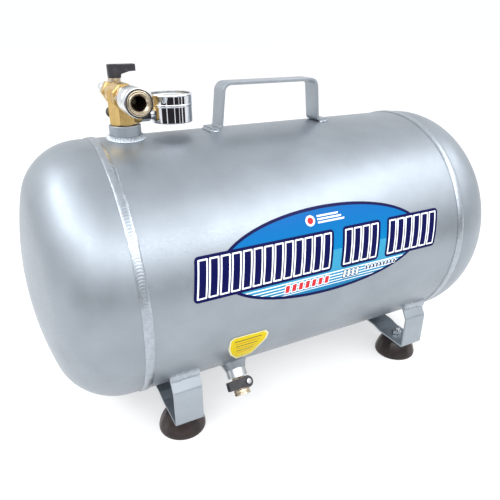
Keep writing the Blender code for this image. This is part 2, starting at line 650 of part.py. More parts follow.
def make_coupler(port):
    """The quick coupler at the front: body, sliding sleeve, mouth ring, poppet and spring."""
    at = (0, 0, RUN_Z)
    make_coupler_body(at, port)
    front = COUPLER_MOUTH - 3.6 * MM
    ring_radius = 11.6 * MM
    tube("coupler_ring", ring_radius, SLEEVE_BORE, front + GAP, COUPLER_MOUTH - 1 * MM, BLACK, at, TO_FRONT,
         port)
    sleeve_axis = frame("sleeve_axis", at, parent=port)
    back, full = 29.5 * MM, 31 * MM
    turned("coupler_sleeve",
           [(SLEEVE_RADIUS - 0.4 * MM, front), (SLEEVE_RADIUS, front - 0.5 * MM), (SLEEVE_RADIUS, full),
            (SLEEVE_RADIUS - 1 * MM, back), (SLEEVE_BORE, back), (SLEEVE_BORE, front)],
           NICKEL, turn=TO_FRONT, parent=sleeve_axis)
    poppet_axis = frame("poppet_axis", at, parent=port)
    face, face_radius, rim = 38 * MM, 2.4 * MM, 36.4 * MM
    skirt, tail_radius, tail = 32.5 * MM, 2 * MM, 29.5 * MM
    turned("coupler_poppet",
           [(0, face), (face_radius, face), (POPPET_RADIUS, rim), (POPPET_RADIUS, skirt),
            (tail_radius, skirt), (tail_radius, tail), (0, tail)],
           BRASS, turn=TO_FRONT, parent=poppet_axis)
    spring_radius, wire, spring_back = 4.2 * MM, 0.4 * MM, 21.8 * MM
    coil("coupler_spring", spring_radius, wire, spring_back, skirt - 2 * wire, 4, at, TO_FRONT, port)


def make_coupler_body(at, port):
    """The coupler's body: a thread, a hexagon, and a bored barrel with an open mouth."""
    mouth = COUPLER_MOUTH
    hex_low, hex_high = RUN_FRONT + GAP, 23 * MM
    body = hexagon("coupler_body", COUPLER_FLATS, hex_low, hex_high, NICKEL, at, TO_FRONT, port)
    thread_start, thread_end = 6.3 * MM, 15 * MM
    barrel = [(0, mouth), (COUPLER_RADIUS - SMALL_EDGE, mouth), (COUPLER_RADIUS, mouth - SMALL_EDGE),
              (COUPLER_RADIUS, thread_end), (SPIGOT_RADIUS, thread_end), (SPIGOT_RADIUS, thread_start),
              (0, thread_start)]
    combine(body, turned("coupler_barrel", barrel, at=at, turn=TO_FRONT, parent=port), "UNION")
    lead_in, socket, socket_end = 7.4 * MM, 6.4 * MM, 40 * MM
    chamber, chamber_end, passage = POPPET_RADIUS + 0.4 * MM, 21 * MM, 3.6 * MM
    bore = [(0, BEYOND), (lead_in, BEYOND), (lead_in, mouth - 1 * MM), (socket, mouth - 2 * MM),
            (socket, socket_end), (chamber, socket_end), (chamber, chamber_end), (passage, chamber_end),
            (passage, 0), (0, 0)]
    combine(body, turned("coupler_bore", bore, at=at, turn=TO_FRONT, parent=port))


def coil(name, radius, wire, low, high, turns, at, turn, parent):
    """A compression spring along local Z."""
    curve = bpy.data.curves.new(name, "CURVE")
    curve.dimensions = "3D"
    curve.bevel_depth = wire
    curve.bevel_resolution = 0
    curve.use_fill_caps = True
    per_turn = 8
    count = turns * per_turn + 1
    spline = curve.splines.new("POLY")
    spline.points.add(count - 1)
    for i, point in enumerate(spline.points):
        swing = 2 * math.pi * i / per_turn
        height = low + (high - low) * i / (count - 1)
        point.co = (radius * math.cos(swing), radius * math.sin(swing), height, 1)
    return place(name, curve, STEEL, at, turn, parent)


def make_gauge(port):
    """The pressure gauge, lying with its dial up at the end of a side stem."""
    side = (0, 0, PORT_Z)
    hex_low, hex_high = SIDE_BOSS_END + GAP, 24.6 * MM
    shank_end, stem_bore = 30 * MM, 1.6 * MM
    stem = hexagon("gauge_stem", GAUGE_STEM_FLATS, hex_low, hex_high, CHROME, side, TO_RIGHT, port)
    combine(stem, rod("gauge_stem_shank", SIDE_SHANK_RADIUS, SIDE_SHANK_START, shank_end, at=side,
                      turn=TO_RIGHT, parent=port), "UNION")
    combine(stem, rod("gauge_stem_bore", stem_bore, 0, BEYOND, at=side, turn=TO_RIGHT, parent=port,
                      segments=12))
    at = (GAUGE_X, 0, 0)
    inner = GAUGE_RADIUS - GAUGE_WALL
    edge = 1.5 * MM
    case = turned("gauge_case",
                  [(0, GAUGE_LOW + GAUGE_WALL), (inner, GAUGE_LOW + GAUGE_WALL), (inner, GAUGE_SEAM),
                   (GAUGE_RADIUS, GAUGE_SEAM), (GAUGE_RADIUS, GAUGE_LOW + edge),
                   (GAUGE_RADIUS - edge, GAUGE_LOW), (0, GAUGE_LOW)],
                  CHROME, at, parent=port, segments=32)
    combine(case, rod("gauge_stem_hole", SIDE_SHANK_RADIUS + GAP, hex_low, GAUGE_X - 10 * MM, at=side,
                      turn=TO_RIGHT, parent=port))
    glass_thick = 1.5 * MM
    glass_low = GAUGE_HIGH - 2 * glass_thick
    rim = GAUGE_RADIUS - 2.2 * MM
    rim_low = glass_low + glass_thick + GAP
    turned("gauge_bezel",
           [(rim, GAUGE_HIGH), (GAUGE_RADIUS - 0.8 * MM, GAUGE_HIGH), (GAUGE_RADIUS, GAUGE_HIGH - 1.2 * MM),
            (GAUGE_RADIUS, GAUGE_SEAM + GAP), (inner, GAUGE_SEAM + GAP), (inner, rim_low), (rim, rim_low)],
           CHROME, at, parent=port, segments=32)
    disc = inner - GAP
    spindle_hole = 1.3 * MM
    rod("gauge_glass", disc, glass_low, glass_low + glass_thick, GLASS, at, parent=port, segments=32)
    tube("gauge_dial", disc, spindle_hole, DIAL_LOW, DIAL_LOW + DIAL_THICK, WHITE, at, parent=port,
         segments=32)
    make_needle(frame("needle_axis", at, parent=port))
    make_bourdon_tube(at, port)


def make_bourdon_tube(at, port):
    """The curved pressure tube under the dial."""
    path = bpy.data.curves.new("bourdon_tube", "CURVE")
    path.dimensions = "3D"
    path.bevel_depth = 1.8 * MM
    path.bevel_resolution = 1
    path.use_fill_caps = True
    radius = 13 * MM
    height = 20.5 * MM
    sweep = math.radians(260)
    count = 15
    spline = path.splines.new("POLY")
    spline.points.add(count - 1)
    for i, point in enumerate(spline.points):
        swing = sweep * (i / (count - 1) - 0.5)
        point.co = (radius * math.cos(swing), radius * math.sin(swing), height, 1)
    place("bourdon_tube", path, BRASS, at, parent=port)


def make_needle(spindle):
    """The needle on its spindle. At zero it points to the lower left of the dial."""
    low = DIAL_LOW + DIAL_THICK + 0.9 * MM
    blade_low, blade_high = low + 0.2 * MM, low + 0.7 * MM
    hub, hub_high = 2.4 * MM, low + 0.9 * MM
    pin, pin_low = 0.9 * MM, 22.8 * MM
    reach, half = 15.5 * MM, 0.45 * MM
    tail_reach, tail_half = 5.5 * MM, 0.9 * MM
    needle = rod("gauge_needle", hub, low, hub_high, BLACK, turn=(0, 0, math.radians(45)), parent=spindle,
                 segments=16)
    for tool in (block("needle_pointer", (-reach, -half, blade_low), (0, half, blade_high), parent=needle),
                 block("needle_tail", (0, -tail_half, blade_low), (tail_reach, tail_half, blade_high),
                       parent=needle),
                 rod("needle_pin", pin, pin_low, low + 0.5 * MM, parent=needle, segments=12)):
        combine(needle, tool, "UNION")


def make_safety_valve(port):
    """The safety valve behind the base: body, sprung stem and pull ring."""
    at = (0, 0, PORT_Z)
    hex_low, hex_high = 11.9 * MM, 17 * MM
    end = 27 * MM
    body = hexagon("safety_valve_body", SAFETY_FLATS, hex_low, hex_high, BRASS, at, TO_BACK, port)
    outline = [(0, end), (SAFETY_BONNET - 0.8 * MM, end), (SAFETY_BONNET, end - 1 * MM),
               (SAFETY_BONNET, hex_high - 2 * MM), (SIDE_SHANK_RADIUS, hex_high - 2 * MM),
               (SIDE_SHANK_RADIUS, SIDE_SHANK_START), (0, SIDE_SHANK_START)]
    combine(body, turned("safety_bonnet", outline, at=at, turn=TO_BACK, parent=port), "UNION")
    stem_hole, chamber, chamber_end, seat, inlet = 1.8 * MM, 3.5 * MM, 25 * MM, 9 * MM, 2 * MM
    bore = [(0, BEYOND), (stem_hole, BEYOND), (stem_hole, chamber_end), (chamber, chamber_end),
            (chamber, seat), (inlet, seat), (inlet, 0), (0, 0)]
    combine(body, turned("safety_bore", bore, at=at, turn=TO_BACK, parent=port))
    spring_radius, wire = 2.5 * MM, 0.35 * MM
    disc_top = seat + 3 * MM
    coil("safety_spring", spring_radius, wire, disc_top + 0.9 * MM, chamber_end - 0.8 * MM, 4, at, TO_BACK,
         port)
    stem_axis = frame("safety_stem_axis", at, parent=port)
    make_safety_stem(seat + GAP, disc_top, stem_axis)
    ring_axis = frame("ring_axis", (0, SAFETY_EYE, 0), parent=stem_axis)
    steps = 6
    section = []
    for i in range(steps):
        swing = 2 * math.pi * i / steps
        section.append((SAFETY_RING_RADIUS + SAFETY_RING_WIRE * math.cos(swing),
                        -SAFETY_RING_WIRE * math.sin(swing)))
    turned("safety_pull_ring", section, NICKEL, (-SAFETY_RING_RADIUS, 0, 0), TO_FRONT, ring_axis,
           segments=16)


def make_safety_stem(disc_low, disc_top, stem_axis):
    """The safety valve's stem: a sealing disc, a thin rod, and an eye for the pull ring."""
    disc, radius = 3 * MM, 1.4 * MM
    eye, eye_hole = 2.4 * MM, 1.2 * MM
    half = 1 * MM
    end = SAFETY_EYE + eye + 0.2 * MM
    stem = turned("safety_stem",
                  [(0, end), (radius, end), (radius, disc_top), (disc, disc_top), (disc, disc_low),
                   (0, disc_low)],
                  NICKEL, turn=TO_BACK, parent=stem_axis, segments=16)
    at = (0, SAFETY_EYE, 0)
    combine(stem, rod("safety_eye", eye, -half, half, at=at, parent=stem_axis, segments=16), "UNION")
    combine(stem, rod("safety_eye_hole", eye_hole, -5 * half, 5 * half, at=at, parent=stem_axis,
                      segments=12))


def make_drain_valve():
    """The drain valve: housing, outlet, ball, stem, lever and screw."""
    axis = frame("drain_axis", (DRAIN_X, 0, AXIS_HEIGHT), (math.pi - DRAIN_TILT, 0, 0))
    valve = frame("drain_valve_frame", (0, 0, 0), (0, 0, DRAIN_STEM_TURN), axis)
    cavity = DRAIN_BALL_RADIUS + 0.5 * MM
    cavity_low = DRAIN_STEM_AT - cavity - 0.2 * MM
    back = DRAIN_END + GAP
    spigot = DRAIN_BORE - GAP
    shoulder = 149.6 * MM
    housing = turned("drain_valve_housing",
                     [(DRAIN_HOUSING_RADIUS, DRAIN_HOUSING_END), (DRAIN_HOUSING_RADIUS, shoulder),
                      (spigot, shoulder - SMALL_EDGE), (spigot, back), (spigot, DRAIN_SPIGOT_START),
                      (DRAIN_FLOW, DRAIN_SPIGOT_START), (DRAIN_FLOW, cavity_low), (cavity, cavity_low),
                      (cavity, DRAIN_HOUSING_END)],
                     BRASS, parent=valve)
    at = (0, 0, DRAIN_STEM_AT)
    neck_foot = 6.6 * MM
    stem_hole = 2 * MM
    combine(housing, rod("drain_stem_neck", DRAIN_NECK_RADIUS, neck_foot, DRAIN_NECK_END, at=at,
                         turn=TO_BACK, parent=valve), "UNION")
    combine(housing, rod("drain_stem_bore", stem_hole, DRAIN_BALL_RADIUS - 2 * MM, BEYOND, at=at,
                         turn=TO_BACK, parent=valve, segments=16))
    start, opening_low = DRAIN_HOUSING_END + GAP, 163 * MM
    turned("drain_outlet",
           [(DRAIN_OUTLET_RADIUS - 0.5 * MM, DRAIN_OUTLET_END),
            (DRAIN_OUTLET_RADIUS, DRAIN_OUTLET_END - SMALL_EDGE), (DRAIN_OUTLET_RADIUS, start),
            (DRAIN_FLOW, start), (DRAIN_FLOW, opening_low), (DRAIN_OUTLET_OPENING, opening_low),
            (DRAIN_OUTLET_OPENING, DRAIN_OUTLET_END)],
           BRASS, parent=valve)
    spindle = frame("drain_lever_axis", at, TO_BACK, valve)
    make_ball("drain_ball", DRAIN_BALL_RADIUS, DRAIN_FLOW - 0.2 * MM, 2.2 * MM, spindle)
    stem_radius, tang, stem_top = 1.7 * MM, 1.6 * MM, 15.4 * MM
    make_stem("drain_stem", stem_radius, tang, DRAIN_BALL_RADIUS - 1.2 * MM, stem_top, spindle)
    make_drain_lever(stem_hole, spindle)


def make_drain_lever(stem_hole, spindle):
    """The drain lever: a bar with a round end over the stem, and its pivot screw."""
    low = DRAIN_LEVER_OUT
    high = low + DRAIN_LEVER_THICK
    lever = rod("drain_lever", DRAIN_LEVER_END, low, high, BLACK, parent=spindle)
    inset = 0.2 * MM
    arm = block("drain_lever_arm", (-DRAIN_LEVER_LENGTH, -DRAIN_LEVER_HALF, low + inset),
                (0, DRAIN_LEVER_HALF, high - inset), parent=spindle)
    combine(lever, arm, "UNION")
    combine(lever, rod("drain_lever_bore", stem_hole, 0, BEYOND, parent=spindle, segments=16))
    head, head_height, length = 2.9 * MM, 1.6 * MM, 4.4 * MM
    turned("drain_lever_screw", screw_profile(head, 1.2 * MM, high + GAP, head_height, length), STEEL,
           parent=spindle, segments=16)


def sticker(name, rows, finish):
    """A thin curved plate on the barrel. Each row is an x with its lowest and highest angle."""
    mesh = bpy.data.meshes.new(name)
    radius = TANK_RADIUS + GAP
    bands = 6
    points = []
    for x, low, high in rows:
        for j in range(bands + 1):
            points.append(on_tank(x, low + (high - low) * j / bands, radius))
    faces = []
    for i in range(len(rows) - 1):
        for j in range(bands):
            corner = i * (bands + 1) + j
            faces.append((corner, corner + bands + 1, corner + bands + 2, corner + 1))
    mesh.from_pydata(points, [], faces)
    plate = place(name, mesh, finish)
    thicken = plate.modifiers.new("thickness", "SOLIDIFY")
    thicken.thickness = STICKER_THICK
    thicken.offset = 1
    return plate


def make_stickers():
    """The front decal, an oval crossed by a long band, and the small caution sticker."""
    middle = sum(DECAL_ANGLES) / 2
    oval_height = (DECAL_ANGLES[1] - DECAL_ANGLES[0]) / 2
    columns = 24
    rows = []
    for i in range(columns + 1):
        along = 2 * i / columns - 1
        x = DECAL_HALF * along
        across = min(1.0, abs(x) / DECAL_OVAL_HALF)
        reach = oval_height * math.sqrt(1 - across ** 2)
        low = min(DECAL_BAND_ANGLES[0], middle - reach)
        high = max(DECAL_BAND_ANGLES[1], middle + reach)
        rows.append((DECAL_X + x, low, high))
    sticker("front_decal", rows, BLUE)
    low, high = CAUTION_ANGLES
    cut = math.radians(3)
    left, right = CAUTION_X
    corner = 5 * MM
    sticker("caution_sticker",
            [(left, low + cut, high - cut), (left + corner, low, high), (right - corner, low, high),
             (right, low + cut, high - cut)], YELLOW)


def main():
    clear_scene()
    make_tank()
    make_bosses()
    make_handle()
    make_cradles()
    port = frame("port_axis", (PORT_X, 0, AXIS_HEIGHT + TANK_RADIUS))
    make_manifold(port)
    make_ball_valve(port)
    make_plug(port)
    make_coupler(port)
    make_gauge(port)
    make_safety_valve(port)
    make_drain_valve()
    make_stickers()


main()
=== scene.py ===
"""Looks of the portable air receiver tank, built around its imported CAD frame.

World units are metres: X runs along the tank, -Y is the side with the decal, and Z = 0 is the floor.
Places come from the boxes of the CAD nodes. Profiles are (radius, distance along the axis) in millimetres.
"""
import json
import math

import bmesh
import bpy
from mathutils import Matrix, Vector, noise


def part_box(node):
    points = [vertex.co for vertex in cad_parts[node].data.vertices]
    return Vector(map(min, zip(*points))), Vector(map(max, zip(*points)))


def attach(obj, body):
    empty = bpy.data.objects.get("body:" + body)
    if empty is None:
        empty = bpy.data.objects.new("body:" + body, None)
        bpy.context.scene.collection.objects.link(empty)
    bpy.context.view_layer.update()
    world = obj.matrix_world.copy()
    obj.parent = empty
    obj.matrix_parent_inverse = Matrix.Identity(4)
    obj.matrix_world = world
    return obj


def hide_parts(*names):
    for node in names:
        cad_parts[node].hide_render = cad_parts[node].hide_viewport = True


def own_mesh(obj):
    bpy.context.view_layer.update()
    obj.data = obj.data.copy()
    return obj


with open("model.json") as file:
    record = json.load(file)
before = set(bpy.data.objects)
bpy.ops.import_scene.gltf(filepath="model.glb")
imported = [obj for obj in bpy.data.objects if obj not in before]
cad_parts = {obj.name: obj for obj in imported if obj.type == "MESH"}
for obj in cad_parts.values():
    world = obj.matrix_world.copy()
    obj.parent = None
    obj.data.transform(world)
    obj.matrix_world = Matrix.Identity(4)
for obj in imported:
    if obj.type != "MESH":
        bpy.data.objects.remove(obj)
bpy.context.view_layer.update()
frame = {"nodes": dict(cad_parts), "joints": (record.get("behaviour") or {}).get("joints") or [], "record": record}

MM = 0.001
SHARP = math.radians(28)                # edges that turn more than this are shaded sharp
HEX_CHAMFER = math.tan(math.radians(30))

UP = Matrix.Identity(4)
TO_FRONT = Matrix.Rotation(math.radians(90), 4, "X")     # local +Z points along -Y
TO_BACK = Matrix.Rotation(math.radians(-90), 4, "X")     # local +Z points along +Y
TO_RIGHT = Matrix.Rotation(math.radians(90), 4, "Y")     # local +Z points along +X
TO_LEFT = Matrix.Rotation(math.radians(-90), 4, "Y")     # local +Z points along -X


def middle(node):
    """The middle of a CAD node's box."""
    low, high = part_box(node)
    return (low + high) / 2


def above_port(height):
    """A height in the row frame as millimetres above the top of the barrel, where the port is."""
    return (height - PORT_TOP.z) / MM


def joint(name):
    """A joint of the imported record."""
    return next(j for j in frame["joints"] if j["name"] == name)


def mount(name):
    """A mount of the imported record."""
    return next(m for m in frame["record"]["mounts"] if m["name"] == name)


barrel_low, barrel_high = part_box("shell_barrel")
TANK_RADIUS = (barrel_high.z - barrel_low.z) / 2
AXIS_Z = (barrel_high.z + barrel_low.z) / 2
WELD_X = barrel_high.x
WALL = 3 * MM               # of the barrel and heads
PORT_X = middle("port_boss").x
DRAIN_X = joint("drain_turn")["pos_m"][0]
PORT_TOP = Vector((PORT_X, 0, AXIS_Z + TANK_RADIUS))
RUN = Vector((PORT_X, 0, middle("coupler_body").z))
SIDE_PORTS = Vector((PORT_X, 0, joint("ring_swing")["pos_m"][2]))
BALL_CENTRE = Vector((PORT_X, joint("lever_turn")["pos_m"][1], RUN.z))
GAUGE_AXIS = Vector((joint("needle_turn")["pos_m"][0], 0, PORT_TOP.z))
DRAIN_OUT = Vector(mount("drain_outlet_face")["axis"])
DRAIN_TILT = math.pi - math.atan2(-DRAIN_OUT.y, -DRAIN_OUT.z)
DRAIN_TURN = Matrix.Translation((DRAIN_X, 0, AXIS_Z)) @ Matrix.Rotation(DRAIN_TILT, 4, "X")
DRAIN_STEM = Vector(joint("drain_turn")["axis"])


# --- Node helpers ---------------------------------------------------------------------------------

def new_material(name):
    """A material with its node tree and its shader."""
    made = bpy.data.materials.new(name)
    made.use_nodes = True
    tree = made.node_tree
    return made, tree, tree.nodes["Principled BSDF"]


def noise_over(tree, scale, detail=3.0, stretch=(1, 1, 1)):
    """Noise over the object's own coordinates, with about scale features a metre."""
    coordinates = tree.nodes.new("ShaderNodeTexCoord")
    mapping = tree.nodes.new("ShaderNodeMapping")
    mapping.inputs["Scale"].default_value = stretch
    texture = tree.nodes.new("ShaderNodeTexNoise")
    texture.inputs["Scale"].default_value = scale
    texture.inputs["Detail"].default_value = detail
    tree.links.new(coordinates.outputs["Object"], mapping.inputs["Vector"])
    tree.links.new(mapping.outputs["Vector"], texture.inputs["Vector"])
    return texture.outputs["Fac"]


def ranged(tree, value, low, high, start=0.3, end=0.7):
    """A value from start to end turned into one from low to high."""
    node = tree.nodes.new("ShaderNodeMapRange")
    node.inputs["From Min"].default_value = start
    node.inputs["From Max"].default_value = end
    node.inputs["To Min"].default_value = low
    node.inputs["To Max"].default_value = high
    tree.links.new(value, node.inputs["Value"])
    return node.outputs["Result"]


def between(tree, value, first, second):
    """A colour between two others. A colour is three numbers or a socket."""
    node = tree.nodes.new("ShaderNodeMix")
    node.data_type = "RGBA"
    tree.links.new(value, node.inputs["Factor"])
    colours = [s for s in node.inputs if s.type == "RGBA"]
    for socket, colour in zip(colours, (first, second)):
        if isinstance(colour, bpy.types.NodeSocket):
            tree.links.new(colour, socket)
        else:
            socket.default_value = (*colour, 1.0)
    return next(s for s in node.outputs if s.type == "RGBA")


def bumped(tree, shader, layers):
    """Relief on the shader. Each layer is (height socket, depth in millimetres)."""
    normal = None
    for height, depth in layers:
        node = tree.nodes.new("ShaderNodeBump")
        node.inputs["Distance"].default_value = depth * MM
        node.inputs["Strength"].default_value = 1.0
        tree.links.new(height, node.inputs["Height"])
        if normal is not None:
            tree.links.new(normal, node.inputs["Normal"])
        normal = node.outputs["Normal"]
    tree.links.new(normal, shader.inputs["Normal"])


def scaled(colour, factor):
    """A lighter or darker colour."""
    return tuple(min(1.0, c * factor) for c in colour)


# --- Materials ------------------------------------------------------------------------------------

def metal(name, colour, roughness, metallic=1.0, cloud=30, cloudiness=0.06, grain=900, depth=0.01,
          stretch=(1, 1, 1), dents=0.0, stain=None):
    """A metal with cloudy colour, fine grain, uneven gloss and, if asked for, shallow dents or stains."""
    made, tree, shader = new_material(name)
    clouds = noise_over(tree, cloud, 4)
    tint = between(tree, ranged(tree, clouds, 0, 1), scaled(colour, 1 - cloudiness),
                   scaled(colour, 1 + cloudiness))
    if stain is not None:
        spots = ranged(tree, noise_over(tree, cloud * 4, 6), 0, 0.7, 0.55, 0.72)
        tint = between(tree, spots, tint, stain)
    tree.links.new(tint, shader.inputs["Base Color"])
    shader.inputs["Metallic"].default_value = metallic
    fine = noise_over(tree, grain, 2, stretch)
    tree.links.new(ranged(tree, fine, roughness * 0.85, roughness * 1.18), shader.inputs["Roughness"])
    layers = [(fine, depth)]
    if dents:
        layers.append((noise_over(tree, cloud * 0.7, 1), dents))
    bumped(tree, shader, layers)
    return made


def silver_paint(name, colour=(0.285, 0.315, 0.348), roughness=0.4):
    """The tank's satin silver finish: fine metal flake, faint clouds and the ripple of hand work."""
    return metal(name, colour, roughness, metallic=0.8, cloud=26, cloudiness=0.07, grain=650, depth=0.022,
                 dents=0.14)


def weld_metal(name, colour=(0.36, 0.395, 0.435)):
    """Weld metal under the same finish: brighter, lumpier, with darker hollows."""
    return metal(name, colour, 0.3, metallic=0.9, cloud=260, cloudiness=0.12, grain=2600, depth=0.03)


def vinyl_gloss(tree, shader, low, high):
    """The gloss layer of a print: fine grain in its roughness and relief, and a thin clear coat."""
    grain = noise_over(tree, 1800, 2)
    tree.links.new(ranged(tree, grain, low, high), shader.inputs["Roughness"])
    shader.inputs["Specular IOR Level"].default_value = 0.07
    shader.inputs["Coat Weight"].default_value = 0.02
    shader.inputs["Coat Roughness"].default_value = 0.2
    bumped(tree, shader, [(grain, 0.006)])


def plain_vinyl(name, colour, darker=0.85, roughness=0.32):
    """Printed vinyl: slightly uneven ink under a gloss layer."""
    made, tree, shader = new_material(name)
    ink = noise_over(tree, 55, 4)
    tint = between(tree, ranged(tree, ink, 0, 1), scaled(colour, darker), colour)
    tree.links.new(tint, shader.inputs["Base Color"])
    vinyl_gloss(tree, shader, roughness * 0.9, roughness * 1.15)
    return made


def shaded_vinyl(name, low_colour, high_colour, low_z, high_z):
    """Printed vinyl whose ink runs from one colour low down to another higher up."""
    made, tree, shader = new_material(name)
    coordinates = tree.nodes.new("ShaderNodeTexCoord")
    split = tree.nodes.new("ShaderNodeSeparateXYZ")
    tree.links.new(coordinates.outputs["Object"], split.inputs["Vector"])
    rise = ranged(tree, split.outputs["Z"], 0, 1, low_z, high_z)
    tint = between(tree, rise, low_colour, high_colour)
    tree.links.new(tint, shader.inputs["Base Color"])
    vinyl_gloss(tree, shader, 0.3, 0.38)
    return made


def black_plastic(name):
    """The levers: moulded black coating with a fine grain and rubbed, greyer patches."""
    made, tree, shader = new_material(name)
    rub = noise_over(tree, 160, 5)
    tint = between(tree, ranged(tree, rub, 0, 1, 0.45, 0.75), (0.012, 0.011, 0.015), (0.04, 0.038, 0.045))
    tree.links.new(tint, shader.inputs["Base Color"])
    grain = noise_over(tree, 2600, 3)
    tree.links.new(ranged(tree, grain, 0.34, 0.5), shader.inputs["Roughness"])
    bumped(tree, shader, [(grain, 0.03)])
    return made


def brown_rubber(name):
    """The feet: dark brown rubber with a waxy gloss, fine grain and dusty patches."""
    made, tree, shader = new_material(name)
    dust = noise_over(tree, 90, 6)
    tint = between(tree, ranged(tree, dust, 0, 1, 0.4, 0.75), (0.007, 0.004, 0.004), (0.022, 0.012, 0.011))
    tree.links.new(tint, shader.inputs["Base Color"])
    grain = noise_over(tree, 2200, 3)
    tree.links.new(ranged(tree, grain, 0.36, 0.5), shader.inputs["Roughness"])
    shader.inputs["Specular IOR Level"].default_value = 0.35
    shader.inputs["Coat Weight"].default_value = 0.25
    shader.inputs["Coat Roughness"].default_value = 0.18
    shader.inputs["Coat Tint"].default_value = (1.0, 0.72, 0.66, 1.0)
    bumped(tree, shader, [(grain, 0.02), (dust, 0.04)])
    return made


def clear_glass(name):
    """The gauge's window, with a trace of green and faint wipe marks."""
    made, tree, shader = new_material(name)
    shader.inputs["Base Color"].default_value = (0.93, 0.97, 0.95, 1.0)
    shader.inputs["Transmission Weight"].default_value = 1.0
    shader.inputs["IOR"].default_value = 1.47
    wipes = noise_over(tree, 300, 3, (1, 0.2, 1))
    tree.links.new(ranged(tree, wipes, 0.02, 0.07), shader.inputs["Roughness"])
    bumped(tree, shader, [(wipes, 0.002)])
    return made


def soft_white(name, colour=(0.86, 0.86, 0.83)):
    """Dial paint and seat plastic: white with a faint mottle."""
    return plain_vinyl(name, colour, 0.94, 0.42)


def floor_paint(name):
    """The pale studio floor."""
    made, tree, shader = new_material(name)
    mottle = noise_over(tree, 3, 4)
    tint = between(tree, ranged(tree, mottle, 0, 1), (0.49, 0.49, 0.49), (0.51, 0.51, 0.51))
    tree.links.new(tint, shader.inputs["Base Color"])
    shader.inputs["Roughness"].default_value = 0.9
    shader.inputs["Specular IOR Level"].default_value = 0.1
    shader.inputs["Emission Color"].default_value = (1, 1, 1, 1)
    shader.inputs["Emission Strength"].default_value = 0.5
    return made


SILVER = silver_paint("silver_paint")
BAR_SILVER = silver_paint("bar_silver_paint", (0.335, 0.37, 0.405), 0.38)
HANDLE_SILVER = silver_paint("handle_silver_paint", (0.33, 0.36, 0.395), 0.38)
TURNED_SILVER = metal("turned_aluminium", (0.50, 0.52, 0.54), 0.3, cloud=120, grain=1400, depth=0.01,
                      stretch=(1, 1, 0.15))
WELD = weld_metal("weld_metal")
BRASS = metal("brass", (0.62, 0.43, 0.17), 0.33, cloud=140, cloudiness=0.1, grain=1300, depth=0.02,
              stain=(0.42, 0.22, 0.06))
PALE_BRASS = metal("pale_brass", (0.56, 0.48, 0.36), 0.27, cloud=160, cloudiness=0.08, grain=1500,
                   depth=0.012, stain=(0.45, 0.32, 0.17))
# Near-black brass: on the coupler's poppet it is painted shade deep inside the bore; the safety valve's pull ring
# uses it too.
DARK_BRASS_AND_SHADE = metal("dark_brass_and_painted_shade", (0.10, 0.085, 0.06), 0.4, cloud=160, cloudiness=0.2, grain=1500,
                   depth=0.012)
NICKEL = metal("nickel_plate", (0.70, 0.72, 0.74), 0.2, cloud=150, cloudiness=0.05, grain=1200,
               depth=0.006, stretch=(0.2, 1, 0.2), stain=(0.52, 0.51, 0.48))
CHROME = metal("chrome", (0.72, 0.73, 0.76), 0.05, cloud=90, cloudiness=0.03, grain=500, depth=0.002)
STEEL = metal("zinc_steel", (0.56, 0.58, 0.60), 0.3, cloud=240, cloudiness=0.1, grain=1800, depth=0.015,
              stain=(0.36, 0.35, 0.30))
BLACK = black_plastic("black_coating")
RUBBER = brown_rubber("brown_rubber")
GLASS = clear_glass("clear_glass")
DIAL_WHITE = soft_white("dial_white")
SEAT_WHITE = soft_white("seat_plastic", (0.82, 0.82, 0.78))
NAVY = plain_vinyl("navy_print", (0.003, 0.004, 0.062))
PRINT_WHITE = plain_vinyl("white_print", (0.86, 0.88, 0.90), 0.95)
PRINT_RED = plain_vinyl("red_print", (0.55, 0.03, 0.04))
PRINT_BLUE = shaded_vinyl("blue_print", (0.003, 0.20, 0.42), (0.0, 0.10, 0.34), AXIS_Z + 0.01,
                          AXIS_Z + 0.07)
PRINT_SKY = shaded_vinyl("light_blue_print", (0.004, 0.13, 0.30), (0.04, 0.27, 0.44), AXIS_Z - 0.012,
                         AXIS_Z + 0.012)
YELLOW = plain_vinyl("yellow_print", (0.66, 0.50, 0.0), 0.93)
PALE_YELLOW = plain_vinyl("pale_yellow_print", (0.72, 0.70, 0.45), 0.92)
ORANGE = plain_vinyl("orange_print", (0.55, 0.22, 0.01), 0.9)
DARK_PRINT = plain_vinyl("dark_print", (0.03, 0.03, 0.035), 0.8)


# --- Mesh helpers ---------------------------------------------------------------------------------

def piece(name, shape, material, body="root", stands_for=()):
    """Turn a mesh in the row frame into a finished piece that rides on a body."""
    data = bpy.data.meshes.new(name)
    shape.to_mesh(data)
    shape.free()
    data.materials.append(material)
    data.shade_smooth()
    data.set_sharp_from_angle(angle=SHARP)
    thing = bpy.data.objects.new(name, data)
    bpy.context.scene.collection.objects.link(thing)
    even = thing.modifiers.new("even_shading", "WEIGHTED_NORMAL")
    even.keep_sharp = True
    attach(thing, body)
    if stands_for:
        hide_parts(*stands_for)
    return thing


def placed(shape, at, turn=UP):
    """Move a mesh from its own axes to its place."""
    bmesh.ops.transform(shape, matrix=Matrix.Translation(at) @ turn, verts=shape.verts)
    return shape


def lathe(profile, steps=96):
    """A mesh turned about local Z. A point is (radius, height) or a function of the angle that gives it.
    A profile that starts and ends on the axis makes a solid, and any other one makes a ring."""
    shape = bmesh.new()
    rings = []
    for point in profile:
        if not callable(point) and point[0] == 0:
            rings.append([shape.verts.new((0, 0, point[1] * MM))])
            continue
        ring = []
        for i in range(steps):
            angle = 2 * math.pi * i / steps
            radius, height = point(angle) if callable(point) else point
            ring.append(shape.verts.new((radius * math.cos(angle) * MM, radius * math.sin(angle) * MM,
                                         height * MM)))
        rings.append(ring)
    pairs = list(zip(rings, rings[1:]))
    if len(rings[0]) > 1:
        pairs.append((rings[-1], rings[0]))
    for first, second in pairs:
        for i in range(steps):
            j = (i + 1) % steps
            corners = (first[i % len(first)], first[j % len(first)],
                       second[j % len(second)], second[i % len(second)])
            shape.faces.new(list(dict.fromkeys(corners)))
    bmesh.ops.recalc_face_normals(shape, faces=shape.faces)
    return shape


